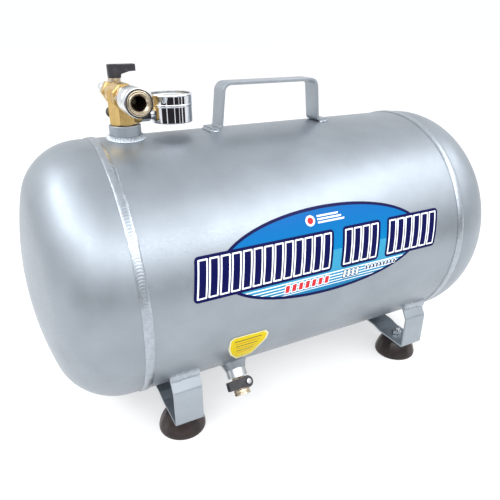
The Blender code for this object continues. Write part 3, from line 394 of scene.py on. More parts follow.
def arc_corner(before, corner, after, radius, steps):
    """Points of an arc that rounds one corner, kept within the two sides."""
    back, ahead = Vector(before) - Vector(corner), Vector(after) - Vector(corner)
    limit = 0.48 * min(back.length, ahead.length)
    back, ahead = back.normalized(), ahead.normalized()
    half = back.angle(ahead) / 2
    if radius == 0 or half > math.radians(88):
        return [Vector(corner)]
    radius = min(radius, limit * math.tan(half))
    reach = radius / math.tan(half)
    centre = Vector(corner) + (back + ahead).normalized() * radius / math.sin(half)
    start = Vector(corner) + back * reach - centre
    end = Vector(corner) + ahead * reach - centre
    return [centre + start.slerp(end, i / steps).normalized() * radius for i in range(steps + 1)]


def soft(profile, radius=0.3, steps=3):
    """A turned profile with its corners rounded."""
    closed = profile[0][0] > 0
    points = []
    count = len(profile)
    for i, corner in enumerate(profile):
        if callable(corner) or (not closed and i in (0, count - 1)):
            points.append(corner)
            continue
        before, after = profile[i - 1], profile[(i + 1) % count]
        if callable(before) or callable(after):
            points.append(corner)
            continue
        points += [tuple(p) for p in arc_corner(before, corner, after, radius, steps)]
    return points


def bent(corners, radii, steps=8):
    """A flat path with its inner corners rounded by arcs, in millimetres."""
    points = [Vector(corners[0])]
    for before, corner, after, radius in zip(corners, corners[1:], corners[2:], radii):
        points += arc_corner(before, corner, after, radius, steps)
    return points + [Vector(corners[-1])]


def hex_reach(flats, angle):
    """Distance from the axis to the side of a hexagon whose corners lie on local X."""
    sector = math.radians(60)
    return flats / 2 / math.cos(angle % sector - sector / 2)


def hex_rings(flats, low, high, chamfers=(True, True)):
    """Profile points of a hexagonal bar from low to high, with chamfered corners."""
    def side(height, sign, chamfered):
        def point(angle):
            reach = hex_reach(flats, angle)
            drop = (reach - flats * 0.48) * HEX_CHAMFER if chamfered else 0
            return reach, height + sign * drop
        return point
    rings = []
    if chamfers[0]:
        rings.append((flats * 0.48, low))
    rings.append(side(low, 1, chamfers[0]))
    rings.append(side(high, -1, chamfers[1]))
    if chamfers[1]:
        rings.append((flats * 0.48, high))
    return rings


def threads(radius, low, high, pitch=1.0, depth=0.45):
    """Profile points of a thread, as rings, from high down to low."""
    points = []
    count = int((high - low) / pitch)
    for i in range(count):
        top = high - i * pitch
        points += [(radius - depth, top), (radius, top - pitch * 0.4), (radius, top - pitch * 0.55),
                   (radius - depth, top - pitch * 0.95)]
    return points


def skin(shape, rings):
    """Join rings of vertices, each as long as the last, into a closed tube with flat ends."""
    count = len(rings[0])
    for first, second in zip(rings, rings[1:]):
        for i in range(count):
            j = (i + 1) % count
            shape.faces.new((first[i], first[j], second[j], second[i]))
    shape.faces.new(rings[0])
    shape.faces.new(rings[-1])
    bmesh.ops.recalc_face_normals(shape, faces=shape.faces)
    return shape


def swept_bar(points, across, width, thick, edge=0.6):
    """A flat bar with rounded edges along a path in space. across is the direction of its width."""
    across = Vector(across).normalized()
    half_w, half_t = width / 2 * MM, thick / 2 * MM
    outline = []
    for w, t, start in ((1, 1, 0), (-1, 1, 90), (-1, -1, 180), (1, -1, 270)):
        for step in range(4):
            swing = math.radians(start + 30 * step)
            outline.append((w * (half_w - edge * MM) + edge * MM * math.cos(swing),
                            t * (half_t - edge * MM) + edge * MM * math.sin(swing)))
    shape = bmesh.new()
    rings = []
    for i, point in enumerate(points):
        ahead = points[min(i + 1, len(points) - 1)] - points[max(i - 1, 0)]
        normal = across.cross(ahead).normalized()
        rings.append([shape.verts.new(point + across * w + normal * t) for w, t in outline])
    return skin(shape, rings)


def box_mesh(low, high):
    """A plain block used as a cutter, in millimetres."""
    shape = bmesh.new()
    low, high = Vector(low) * MM, Vector(high) * MM
    fit = Matrix.Translation((low + high) / 2) @ Matrix.Diagonal((*(high - low), 1.0))
    bmesh.ops.create_cube(shape, size=1.0, matrix=fit)
    return shape


def extruded(outline, low, high, turn=UP):
    """A flat outline in local XY raised from low to high, in millimetres."""
    shape = bmesh.new()
    bottom = [shape.verts.new((x * MM, y * MM, low * MM)) for x, y in outline]
    top = [shape.verts.new((x * MM, y * MM, high * MM)) for x, y in outline]
    count = len(outline)
    shape.faces.new(bottom)
    shape.faces.new(top)
    for i in range(count):
        j = (i + 1) % count
        shape.faces.new((bottom[i], bottom[j], top[j], top[i]))
    bmesh.ops.recalc_face_normals(shape, faces=shape.faces)
    bmesh.ops.transform(shape, matrix=turn, verts=shape.verts)
    return shape


def rod(radius, low, high, steps=48, edge=0.0):
    """A cylinder along local Z, in millimetres."""
    return lathe(soft([(0, high), (radius, high), (radius, low), (0, low)], edge), steps)


def merged(base, *changes, bevel=0.0):
    """The base with other meshes joined on or cut away. Each change is (operation, mesh)."""
    scene = bpy.context.scene
    helpers = []
    for shape in [base] + [tool for _, tool in changes]:
        data = bpy.data.meshes.new("helper")
        shape.to_mesh(data)
        shape.free()
        helper = bpy.data.objects.new("helper", data)
        scene.collection.objects.link(helper)
        helpers.append(helper)
    target = helpers[0]
    for (operation, _), helper in zip(changes, helpers[1:]):
        change = target.modifiers.new("change", "BOOLEAN")
        change.operation = operation
        change.solver = "EXACT"
        change.object = helper
    if bevel:
        edge = target.modifiers.new("edge", "BEVEL")
        edge.width = bevel * MM
        edge.segments = 2
        edge.limit_method = "ANGLE"
        edge.angle_limit = math.radians(35)
    result = bmesh.new()
    result.from_mesh(target.evaluated_get(bpy.context.evaluated_depsgraph_get()).to_mesh())
    for helper in helpers:
        data = helper.data
        bpy.data.objects.remove(helper)
        bpy.data.meshes.remove(data)
    return result


def bead(path, half_width, height, pitch, unevenness=0.12, seed=0.0):
    """A weld bead along a path of (point, surface normal) pairs: overlapping ripples, like laid coins."""
    around = 12
    shape = bmesh.new()
    points = [Vector(p) for p, _ in path]
    count = len(points)
    rings = []
    run = 0.0
    for i in range(count):
        if i:
            run += (points[i] - points[i - 1]).length
        ahead = points[min(i + 1, count - 1)] - points[max(i - 1, 0)]
        normal = Vector(path[i][1]).normalized()
        side = ahead.cross(normal).normalized()
        taper = min(1.0, 0.35 + min(i, count - 1 - i) * 0.22)
        ring = []
        for k in range(around):
            swing = 2 * math.pi * k / around
            bow = abs(math.cos(swing)) ** 2 * 0.45
            phase = (run / (pitch * MM) + bow) % 1.0
            ripple = 1 - 0.2 * (1 - math.sqrt(max(0.0, 1 - (2 * phase - 1) ** 2)))
            wobble = 1 + unevenness * noise.noise(Vector((run * 220, seed, k * 0.05)))
            reach = half_width * MM * math.cos(swing) * wobble * (0.9 + 0.1 * ripple) * taper
            lift = height * MM * math.sin(swing) * ripple * wobble * taper
            if math.sin(swing) < 0:
                lift = 0.9 * height * MM * math.sin(swing)
            ring.append(shape.verts.new(points[i] + side * reach + normal * lift))
        rings.append(ring)
    return skin(shape, rings)


def on_tank(x, angle, radius=TANK_RADIUS):
    """A point by its x and its angle above the horizontal on the -Y side."""
    return Vector((x, -radius * math.cos(angle), AXIS_Z + radius * math.sin(angle)))


def off_tank(point):
    """The direction straight out from the tank's axis at a point."""
    return Vector((0, point.y, point.z - AXIS_Z)).normalized()


# --- Tank -----------------------------------------------------------------------------------------

HEAD_FLANGE = 11.8
HEAD_KNUCKLE = 61.0
GIRTH_WIDTH = 8.8
GIRTH_HEIGHT = 1.25
WELD_OVERLAP = 320.5        # angle round the tank at which a girth weld starts and ends


def head_outline(inset=0.0):
    """The crown and shoulder arcs of a dished head, from the middle out, in millimetres."""
    radius = TANK_RADIUS / MM
    dish = (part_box("head_right")[1].x - WELD_X) / MM - HEAD_FLANGE
    shoulder = radius - HEAD_KNUCKLE
    crown = (shoulder ** 2 + dish ** 2 - HEAD_KNUCKLE ** 2) / (2 * (dish - HEAD_KNUCKLE))
    crown_z = HEAD_FLANGE + dish - crown
    meet = math.atan2(shoulder, HEAD_FLANGE - crown_z)
    points = [(0, crown_z + crown - inset)]
    steps = 14
    for i in range(1, steps + 1):
        turn = meet * i / steps
        reach = crown - inset
        points.append((reach * math.sin(turn), crown_z + reach * math.cos(turn)))
    for i in range(1, steps + 1):
        turn = meet + (math.pi / 2 - meet) * i / steps
        reach = HEAD_KNUCKLE - inset
        points.append((shoulder + reach * math.sin(turn), HEAD_FLANGE + reach * math.cos(turn)))
    points.append((radius - inset, 0.15))
    return points


def girth_bead(overlap):
    """The outline of a girth weld, as functions of the angle: ripples over a low crown, and a lump where
    the end of the weld runs over its start."""
    inner = TANK_RADIUS / MM + 0.3
    across = 12
    pitch = math.radians(1.25)

    def crest(share):
        def point(angle):
            bow = (2 * share - 1) ** 2 * 0.8
            phase = (angle / pitch + bow) % 1.0
            ripple = 0.16 * math.sqrt(max(0.0, 1 - (2 * phase - 1) ** 2))
            spot = Vector((math.cos(angle) * 9, math.sin(angle) * 9, 2.0 * share))
            lump = 0.28 * math.exp(-((angle - overlap) / math.radians(1.6)) ** 2)
            edge = 0.10 * noise.noise(spot * 1.7) + 0.05 * noise.noise(spot * 7)
            crown = 1 - abs(2 * share - 1) ** 3.2
            height = GIRTH_HEIGHT - 0.46 + ripple + 0.12 * noise.noise(spot) + lump
            height = min(height, GIRTH_HEIGHT - 0.08)
            return inner + height * crown, GIRTH_WIDTH * (1 + edge) * (0.5 - share)
        return point
    low = (inner - 0.1, -GIRTH_WIDTH / 2)
    high = (inner - 0.1, GIRTH_WIDTH / 2)
    return [crest(i / across) for i in range(across + 1)] + [low, high]


def saddle(radius, lift):
    """A profile point of a ring round a boss, at a height above the tank's own surface."""
    tank = TANK_RADIUS / MM

    def point(angle):
        return radius, math.sqrt(tank ** 2 - (radius * math.sin(angle)) ** 2) + lift
    return point


def make_tank():
    """The barrel, its two heads and the girth welds."""
    radius = TANK_RADIUS / MM
    wall = WALL / MM
    length = WELD_X / MM
    axis = Vector((0, 0, AXIS_Z))
    shell = lathe([(radius, length), (radius, -length), (radius - wall, -length), (radius - wall, length)],
                  steps=192)
    port_low, port_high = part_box("port_boss")
    port_hole = rod((port_high.x - port_low.x) / 2 / MM + 0.3, radius - 20, radius + 20)
    drain_hole = rod(11.1, radius - 20, radius + 20)
    shell = merged(placed(shell, axis, TO_RIGHT),
                   ("DIFFERENCE", placed(port_hole, (PORT_X, 0, AXIS_Z))),
                   ("DIFFERENCE", placed(drain_hole, (0, 0, 0), DRAIN_TURN)))
    piece("barrel_skin", shell, SILVER, stands_for=["shell_barrel"])
    outline = head_outline() + head_outline(wall)[::-1]
    for side, sign, turn in (("left", -1, TO_LEFT), ("right", 1, TO_RIGHT)):
        seam = Vector((sign * WELD_X, 0, AXIS_Z))
        piece(f"head_{side}_skin", placed(lathe(outline, 192), seam, turn), SILVER,
              stands_for=[f"head_{side}"])
        weld = lathe(girth_bead(math.radians(WELD_OVERLAP)), 1440)
        piece(f"girth_bead_{side}", placed(weld, seam, turn), WELD,
              stands_for=[f"girth_weld_{side}"])


def fillet(inner, reach, height, bow, pitch=0.0, ripple=0.0, seed=0.0):
    """A weld fillet round a boss: bow > 1 is hollow, bow < 1 is full. Ripples run out from the boss."""
    def ring(share):
        def point(angle):
            lump, drift = 0.0, 0.0
            if pitch:
                turns = 2 * math.pi / math.radians(pitch)
                phase = (angle / (2 * math.pi) * round(turns) + 0.35 * share) % 1.0
                lump = ripple * (math.sqrt(max(0.0, 1 - (2 * phase - 1) ** 2)) - 0.5)
                spot = Vector((math.cos(angle) * 3, math.sin(angle) * 3, seed))
                drift = 0.25 * ripple * noise.noise(spot)
            body = math.sin(math.pi * min(1.0, share * 0.9 + 0.1))
            radius = inner + reach * share + (lump + drift) * (0.3 + share) * 0.6
            lift = height * (1 - share) ** bow + (lump + drift) * body
            return saddle(radius, lift)(angle)
        return point
    steps = 10
    rings = [ring(i / steps) for i in range(steps + 1)]
    return rings + [saddle(inner + reach, -1.2), saddle(inner, -1.2)]


def make_bosses():
    """The port boss on top with its rippled weld, and the drain boss with its flared weld."""
    radius = TANK_RADIUS / MM
    low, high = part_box("port_boss")
    outer = (high.x - low.x) / 2 / MM
    top = (high.z - AXIS_Z) / MM
    bore = 9.0
    inside = radius - 5
    profile = soft([(outer, top), (outer, inside), (bore, inside), (bore, top)], 0.9)
    piece("port_boss_turned", placed(lathe(profile), (PORT_X, 0, AXIS_Z)), BAR_SILVER,
          stands_for=["port_boss"])
    weld = lathe(fillet(outer + 0.3, 3.5, 3.2, 0.75, 9, 1.1), 720)
    piece("port_boss_bead", placed(weld, (PORT_X, 0, AXIS_Z)), WELD, stands_for=["port_boss_weld"])
    boss = 10.8
    end = 146.9
    profile = soft([(boss, end), (boss, radius - 6), (6.8, radius - 6), (6.8, end)], 0.5)
    piece("drain_boss_turned", placed(lathe(profile), (0, 0, 0), DRAIN_TURN), TURNED_SILVER,
          stands_for=["drain_boss"])
    flare = fillet(boss + 0.3, 4.4, 8, 2.2, 24, 0.12)
    piece("drain_boss_flare", placed(lathe(flare, 288), (0, 0, 0), DRAIN_TURN), SILVER,
          stands_for=["drain_boss_weld"])


# --- Handle and feet ------------------------------------------------------------------------------

def make_handle():
    """The carrying handle, a bent flat bar, and the weld beads round its flanges."""
    low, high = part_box("handle")
    centre = (low.x + high.x) / 2
    half = (high.x - low.x) / 2 / MM
    width = (high.y - low.y) / MM
    thick = 3.0
    flange = 11.0
    top = above_port(high.z) - thick / 2
    foot = above_port(low.z) + thick / 2
    leg = half - flange
    lean = 4.2
    side = [(leg + flange, foot), (leg, foot), (leg - lean, top)]
    corners = [(-x, z) for x, z in side] + side[::-1]
    path = bent(corners, (3.5, 8, 8, 3.5))
    points = [Vector((centre + p.x * MM, 0, PORT_TOP.z + p.y * MM)) for p in path]
    bar = swept_bar(points, (0, 1, 0), width, thick, 0.5)
    piece("handle_bar", bar, HANDLE_SILVER, stands_for=["handle"])
    for name, sign in (("left", -1), ("right", 1)):
        outer = leg + flange
        route = [(leg + 2, width / 2), (outer, width / 2), (outer, -width / 2), (leg + 2, -width / 2)]
        corners = bent(route, (2.5, 2.5), 6)
        path = []
        for first, second in zip(corners, corners[1:]):
            steps = max(1, int((second - first).length / 0.35))
            for i in range(steps):
                spot = first.lerp(second, i / steps)
                angle = math.acos(spot.y * MM / TANK_RADIUS)
                point = Vector((centre + sign * spot.x * MM, TANK_RADIUS * math.cos(angle),
                                AXIS_Z + TANK_RADIUS * math.sin(angle) + 0.4 * MM))
                path.append((point, (sign * 0.4, 0, 1)))
        weld = bead(path, 2.6, 2.3, 2.6, unevenness=0.3, seed=sign)
        piece(f"handle_bead_{name}", weld, WELD)


CRADLE_THICK = 2.5


def cradle_path():
    """The bent bar's middle line from front to back, as (y, z from the tank's axis), in millimetres."""
    low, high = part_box("cradle_left")
    tank = TANK_RADIUS / MM
    leg = (high.y - low.y) / 2 / MM - CRADLE_THICK / 2
    pad = (low.z - AXIS_Z) / MM + CRADLE_THICK / 2
    saddle_z = -tank - 0.3 - CRADLE_THICK / 2
    half = [(-102.4, -81.9), (-leg + 0.3, -95.3), (-leg, pad), (-70, pad), (-58, saddle_z)]
    corners = half + [(-y, z) for y, z in half[::-1]]
    bends = (6, 2.6, 8, 8)
    return bent(corners, bends + bends[::-1], 6)


def make_cradles():
    """The two cradles, their weld beads on the tank, and a rubber foot under each end."""
    path = cradle_path()
    for side in ("left", "right"):
        low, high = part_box(f"cradle_{side}")
        x = (low.x + high.x) / 2
        width = (high.x - low.x) / MM
        points = [Vector((x, p.x * MM, AXIS_Z + p.y * MM)) for p in path]
        bar = swept_bar(points, (1, 0, 0), width, CRADLE_THICK, 0.5)
        holes = []
        for end in ("front", "back"):
            spot = middle(f"foot_{side}_{end}")
            hole = rod(3.3, -10, 10)
            holes.append(("DIFFERENCE", placed(hole, (x, spot.y, points[len(points) // 2].z))))
            make_foot(f"{side}_{end}", x, spot.y)
        piece(f"cradle_{side}_bar", merged(bar, *holes), BAR_SILVER, stands_for=[f"cradle_{side}"])
        for end, sign in (("front", -1), ("back", 1)):
            make_cradle_bead(f"cradle_bead_{side}_{end}", x, width, sign)


def make_cradle_bead(name, x, width, sign):
    """A broad, mottled bead along the end of a cradle, laid in short overlapping strokes."""
    count = 110
    path = []
    for i in range(count + 1):
        along = x + (i / count - 0.5) * (width + 1.0) * MM
        drift = noise.noise(Vector((along * 130, sign, 3)))
        point = Vector((along, sign * 105.2 * MM, AXIS_Z + (-79.3 + 0.7 * drift) * MM))
        path.append((point, (0, sign, 0.05)))
    piece(name, bead(path, 5.6, 2.5, 3.6, unevenness=0.3, seed=x * 10 + sign), WELD)


FOOT_FLARE = 1.7            # 1 is a quarter ellipse, and more is closer to a cone
FOOT_FLUTES = 12


def make_foot(name, x, y):
    """A bell-shaped rubber foot, its bolt from below and its nut on the cradle."""
    low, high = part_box(f"foot_{name}")
    radius = (high.x - low.x) / 2 / MM
    top = high.z / MM
    neck = 12.5
    steps = 14

    def fluted(reach, height, depth):
        return lambda angle: (reach - depth * (1 - math.cos(FOOT_FLUTES * angle)), height)
    outline = [(neck - 0.8, top), (neck - 0.2, top - 0.2)]
    for i in range(1, steps + 1):
        swing = math.pi / 2 * i / steps
        reach = neck + (radius - neck) * math.sin(swing)
        height = 3.2 + (top - 3.2) * math.cos(swing) ** FOOT_FLARE
        outline.append(fluted(reach, height, 0.28 * math.sin(2 * swing)))
    outline += [(radius, 0.9), (radius - 0.25, 0.25), (radius - 0.9, 0), (19, 0), (18.4, 0.8), (17.6, 0.8),
                (17, 0), (8, 0), (8, 9), (3.3, 9), (3.3, top)]
    at = Vector((x, y, 0))
    piece(f"foot_{name}_rubber", placed(lathe(outline), at), RUBBER, stands_for=[f"foot_{name}"])
    bolt_low, bolt_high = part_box(f"foot_bolt_{name}")
    head_low, head_high, tip = bolt_low.z / MM, bolt_low.z / MM + 4, bolt_high.z / MM
    shank = head_high + 10
    bolt = [(0, tip), (2.4, tip)] + threads(3, shank, tip - 0.4) + [(3, shank), (3, head_high)]
    bolt += hex_rings(10, head_low, head_high, (True, False))[::-1] + [(0, head_low)]
    piece(f"foot_bolt_{name}_threaded", placed(lathe(bolt, 48), at), STEEL,
          stands_for=[f"foot_bolt_{name}"])
    nut_low, nut_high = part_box(f"foot_nut_{name}")
    rings = hex_rings(10, nut_low.z / MM, nut_high.z / MM)
    nut = [(3.3, nut_low.z / MM)] + rings + [(3.3, nut_high.z / MM)]
    piece(f"foot_nut_{name}_hex", placed(lathe(nut, 48), at), STEEL, stands_for=[f"foot_nut_{name}"])


# --- Top valve set --------------------------------------------------------------------------------

def make_manifold():
    """The brass manifold: hexagonal base, run from front to back, and two side sockets."""
    flats = 23
    base_low = above_port(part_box("port_boss")[1].z) + 0.3
    run = above_port(RUN.z)
    side = above_port(SIDE_PORTS.z)
    top = run + 6.5
    rings = hex_rings(flats, base_low, top)
    base = lathe([(0, base_low)] + rings + [(0, top)])
    barrel = lathe([(0, 13.5), (11.2, 13.5), (12, 12.7), (12, -11.2), (11.2, -12), (0, -12)], 8)
    bmesh.ops.rotate(barrel, matrix=Matrix.Rotation(math.radians(22.5), 3, "Z"), verts=barrel.verts)
    gauge_boss = lathe(soft([(0, 15.6), (7, 15.6), (7, 5), (0, 5)], 0.6), 48)
    run_at, side_at = Vector((0, 0, run * MM)), Vector((0, 0, side * MM))
    bore = lathe([(0, 40), (6.8, 40), (6.8, 6), (5, 6), (5, -2.5), (6.8, -2.5), (6.8, -40), (0, -40)])
    socket = [(0, 40), (5, 40), (5, 5.6), (2, 5.6), (2, 0), (0, 0)]
    shape = merged(base,
                   ("UNION", placed(barrel, run_at, TO_FRONT)),
                   ("UNION", placed(gauge_boss, side_at, TO_RIGHT)),
                   ("UNION", rod(8.7, -3, base_low + 3)),
                   ("DIFFERENCE", rod(4, -6, run)),
                   ("DIFFERENCE", placed(bore, run_at, TO_FRONT)),
                   ("DIFFERENCE", placed(lathe(socket, 48), side_at, TO_RIGHT)),
                   ("DIFFERENCE", placed(lathe(socket, 48), side_at, TO_BACK)), bevel=0.45)
    piece("manifold_forged", placed(shape, PORT_TOP), BRASS, stands_for=["manifold"])


def make_ball_valve():
    """The shut-off valve: housing with its stem neck, end connector, gland, lever and screw."""
    neck_top = (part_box("ball_valve_housing")[1].z - BALL_CENTRE.z) / MM
    body = lathe(soft([(9.2, 11), (9.2, -9.7), (6.5, -9.7), (6.5, -19.2), (4, -19.2), (4, -8), (7.6, -8),
                       (7.6, 11)], 0.5))
    neck = lathe(soft([(0, neck_top), (5.9, neck_top), (6.1, neck_top - 3), (7.6, 5), (0, 5)], 0.4), 48)
    shape = merged(placed(body, (0, 0, 0), TO_BACK), ("UNION", neck), ("DIFFERENCE", rod(2.8, 5, 20)))
    piece("ball_valve_body", placed(shape, BALL_CENTRE), BRASS, stands_for=["ball_valve_housing"])
    end = [(4, 8), (7.3, 8), (7.3, 11.3)] + hex_rings(19, 11.3, 20) + [(6.3, 20), (6.3, 12), (4, 12)]
    piece("ball_valve_end_hex", placed(lathe(end), BALL_CENTRE, TO_BACK), BRASS,
          stands_for=["ball_valve_end"])
    low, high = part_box("stem_gland")
    bottom, top = (low.z - BALL_CENTRE.z) / MM, (high.z - BALL_CENTRE.z) / MM
    gland = soft([(6, top), (6, bottom), (2.8, bottom), (2.8, top)], 0.35)
    piece("stem_gland_ring", placed(lathe(gland, 64), BALL_CENTRE), PALE_BRASS, stands_for=["stem_gland"])
    make_top_lever()


def make_top_lever():
    """The black lever: a hub over the stem and a tapered arm, with its screw."""
    low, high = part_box("valve_lever")
    bottom, top = (low.z - BALL_CENTRE.z) / MM, (high.z - BALL_CENTRE.z) / MM
    reach = (high.x - BALL_CENTRE.x) / MM
    back = (BALL_CENTRE.x - low.x) / MM
    side = [(-back, top - 0.3), (-back + 0.8, top), (reach, top), (reach, top - 5.9),
            (reach - 6, top - 6.2), (6.4, top - 8.2), (5.6, top - 9), (5.6, bottom), (-5.4, bottom),
            (-back, bottom + 6)]
    upright = Matrix.Rotation(math.radians(90), 4, "X")
    blade = extruded(side, -5.6, 5.6, upright)
    plan = [(reach, -4.6), (reach, 4.6), (reach - 1.2, 5.15)]
    plan += [(5.6 * math.sin(math.radians(a)) - 0.2, 5.6 * math.cos(math.radians(a)))
             for a in range(0, -181, -15)]
    plan += [(reach - 1.2, -5.15)]
    shape = merged(blade, ("INTERSECT", extruded(plan, bottom - 5, top + 5)),
                   ("DIFFERENCE", rod(2.8, 0, 60)), ("DIFFERENCE", rod(4, top - 3, top + 5)), bevel=0.7)
    piece("valve_lever_moulded", placed(shape, BALL_CENTRE), BLACK, "lever", ["valve_lever"])
    screw = screw_shape(3.6, 1.2, top - 2.7, 2.2, 4.6)
    piece("lever_screw_head", placed(screw, BALL_CENTRE), STEEL, "lever", ["lever_screw"])


def screw_shape(head, shank, head_low, height, length):
    """A screw with a low round head and a hexagonal socket."""
    top = head_low + height
    socket = head * 0.62

    def key(at):
        return lambda angle: (hex_reach(socket, angle), at)
    outline = [(0, top - height * 0.6), key(top - height * 0.6), key(top), (head * 0.72, top),
               (head * 0.92, top - height * 0.18), (head, top - height * 0.45), (head, head_low),
               (shank, head_low), (shank, head_low - length), (0, head_low - length)]
    return lathe(outline, 48)


def make_plug():
    """The silver plug nipple behind the ball valve."""
    profile = [(2.6, 64), (3.5, 64), (4.1, 63.2), (4.2, 62.4), (4.2, 48), (6, 45), (6, 42.5), (5, 41),
               (5, 38.5), (6.5, 37), (6.5, 29)]
    profile += hex_rings(17, 20.3, 29)[::-1]
    profile += [(6, 20.3), (6, 12.3), (2.6, 12.3)]
    piece("plug_nipple_turned", placed(lathe(profile), BALL_CENTRE, TO_BACK), NICKEL,
          stands_for=["plug_nipple"])


def make_coupler():
    """The quick coupler: hexagonal body, sliding sleeve, black mouth ring, poppet and its spring."""
    mouth = -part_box("coupler_body")[0].y / MM
    body = [(3.6, 6.3), (6.5, 6.3), (6.5, 13.8)] + hex_rings(19, 13.8, 23)
    body += [(9.2, 23), (9.2, 27), (8.8, 27.6), (9.2, 28.2), (9.2, mouth - 0.6), (8.9, mouth - 0.15),
             (8.5, mouth), (7.8, mouth), (7.4, mouth - 0.4), (7.4, mouth - 1.2), (6.4, mouth - 2.2),
             (6.4, 40), (5.6, 40), (5.6, 21), (3.6, 21)]
    piece("coupler_body_turned", placed(lathe(body), RUN, TO_FRONT), PALE_BRASS,
          stands_for=["coupler_body"])
    front = -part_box("coupler_sleeve")[0].y / MM
    sleeve = [(9.5, front), (11.4, front), (12, front - 0.3), (12.2, front - 0.9), (12.2, 50.4),
              (11.8, 49.9), (11.8, 49.3), (12.2, 48.8), (12.2, 47.4), (11.8, 46.9), (11.8, 46.3),
              (12.2, 45.8), (12.2, 33), (11.9, 32), (11.2, 30.2), (10.8, 29.5), (9.5, 29.5)]
    piece("coupler_sleeve_turned", placed(lathe(sleeve), RUN, TO_FRONT), NICKEL, "coupler_sleeve",
          ["coupler_sleeve"])
    low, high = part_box("coupler_ring")
    back, front = -high.y / MM, -low.y / MM
    ring = soft([(11.6, back), (11.6, front), (10.5, front), (10.5, back)], 0.5)
    piece("coupler_ring_moulded", placed(lathe(ring), RUN, TO_FRONT), BLACK, stands_for=["coupler_ring"])
    collar = soft([(10.4, back), (10.4, front - 0.5), (9.5, front - 0.2), (9.5, back)], 0.2)
    piece("coupler_ring_collar", placed(lathe(collar), RUN, TO_FRONT), PALE_BRASS,
          stands_for=["coupler_ring"])
    # A dark rubber lining along the whole bore: partly the coupler's seal, partly a dark sheet that stands in for
    # the shade inside the bore.
    seal = soft([(6.3, 41), (6.3, mouth - 3), (5.9, mouth - 3.6), (5.6, 41)], 0.15)
    piece("coupler_bore_seal_and_shade", placed(lathe(seal), RUN, TO_FRONT), RUBBER, stands_for=["coupler_body"])
    poppet = soft([(0, 37.2), (2.2, 37.4), (2.4, 38), (3, 38), (5.2, 36.4), (5.2, 32.5), (2, 32.5),
                   (2, 29.5), (0, 29.5)], 0.3)
    # The poppet is painted near black, as painted shade for the depth of the coupler's bore.
    piece("coupler_poppet_turned", placed(lathe(poppet, 64), RUN, TO_FRONT), DARK_BRASS_AND_SHADE, "coupler_poppet",
          ["coupler_poppet"])
    spring = placed(helix(4.2, 0.4, 22.0, 31.8, 4.5), RUN, TO_FRONT)
    made = piece("coupler_spring_coil", spring, STEEL, "root", ["coupler_spring"])
    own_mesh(made)


def helix(radius, wire, low, high, turns):
    """A round-wire compression spring along local Z, in millimetres."""
    shape = bmesh.new()
    per_turn, around = 32, 8
    count = int(turns * per_turn)
    rings = []
    for i in range(count + 1):
        swing = 2 * math.pi * i / per_turn
        height = low + wire + (high - low - 2 * wire) * i / count
        outward = Vector((math.cos(swing), math.sin(swing), 0))
        centre = outward * radius + Vector((0, 0, height))
        ring = []
        for k in range(around):
            turn = 2 * math.pi * k / around
            spot = centre + outward * wire * math.cos(turn) + Vector((0, 0, wire * math.sin(turn)))
            ring.append(shape.verts.new(spot * MM))
        rings.append(ring)
    return skin(shape, rings)


# --- Gauge ----------------------------------------------------------------------------------------

DIAL_START = math.radians(225)
DIAL_SWEEP = math.radians(270)
TICK_OUTER = 16.2           # radius at which the dial's ticks end
INK = 0.06                  # thickness of the dial's ticks


def dial_point(angle, radius, height):
    """A point on the dial, in the row frame, with radius and height in millimetres."""
    return GAUGE_AXIS + Vector((radius * math.cos(angle) * MM, radius * math.sin(angle) * MM, height * MM))


def make_gauge():
    """The pressure gauge: stem, chromed case and bezel, window, printed dial and needle."""
    low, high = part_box("gauge_bezel")
    radius = (high.x - low.x) / 2 / MM
    top = above_port(high.z)
    seam = above_port(low.z)
    base = above_port(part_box("gauge_case")[0].z)
    stem = [(1.6, 6), (4.7, 6), (4.7, 15.9)] + hex_rings(11, 15.9, 24.6)
    stem += [(4.7, 24.6), (4.7, 30), (1.6, 30)]
    piece("gauge_stem_hex", placed(lathe(stem, 48), SIDE_PORTS, TO_RIGHT), CHROME,
          stands_for=["gauge_stem"])
    wall, inner = radius - 0.45, radius - 1
    case = soft([(0, base + 1), (inner, base + 1), (inner, seam - 0.3), (radius - 0.1, seam - 0.3),
                 (wall, seam - 1.1), (wall, base + 0.8), (radius - 1.3, base), (0, base)], 0.3)
    shift = Vector((PORT_X - GAUGE_AXIS.x, 0, SIDE_PORTS.z - PORT_TOP.z))
    hole = placed(rod(5, 18, 36), shift, TO_RIGHT)
    piece("gauge_case_chromed", placed(merged(lathe(case), ("DIFFERENCE", hole)), GAUGE_AXIS), CHROME,
          stands_for=["gauge_case"])
    glass_top = top - 1.5
    rim, lip, waist = radius - 2.2, radius - 0.05, radius - 0.35
    bezel = soft([(rim, top), (radius - 0.6, top), (lip, top - 1.2), (waist, top - 2),
                  (waist, seam + 1.4), (lip, seam + 0.9), (lip, seam), (inner, seam),
                  (inner, glass_top + 0.3), (rim, glass_top + 0.3)], 0.35)
    piece("gauge_bezel_chromed", placed(lathe(bezel), GAUGE_AXIS), CHROME, stands_for=["gauge_bezel"])
    disc = radius - 1.3
    glass = soft([(0, glass_top), (disc, glass_top), (disc, glass_top - 1.5), (0, glass_top - 1.5)], 0.3)
    piece("gauge_window", placed(lathe(glass), GAUGE_AXIS), GLASS, stands_for=["gauge_glass"])
    make_dial(disc)
    make_needle()


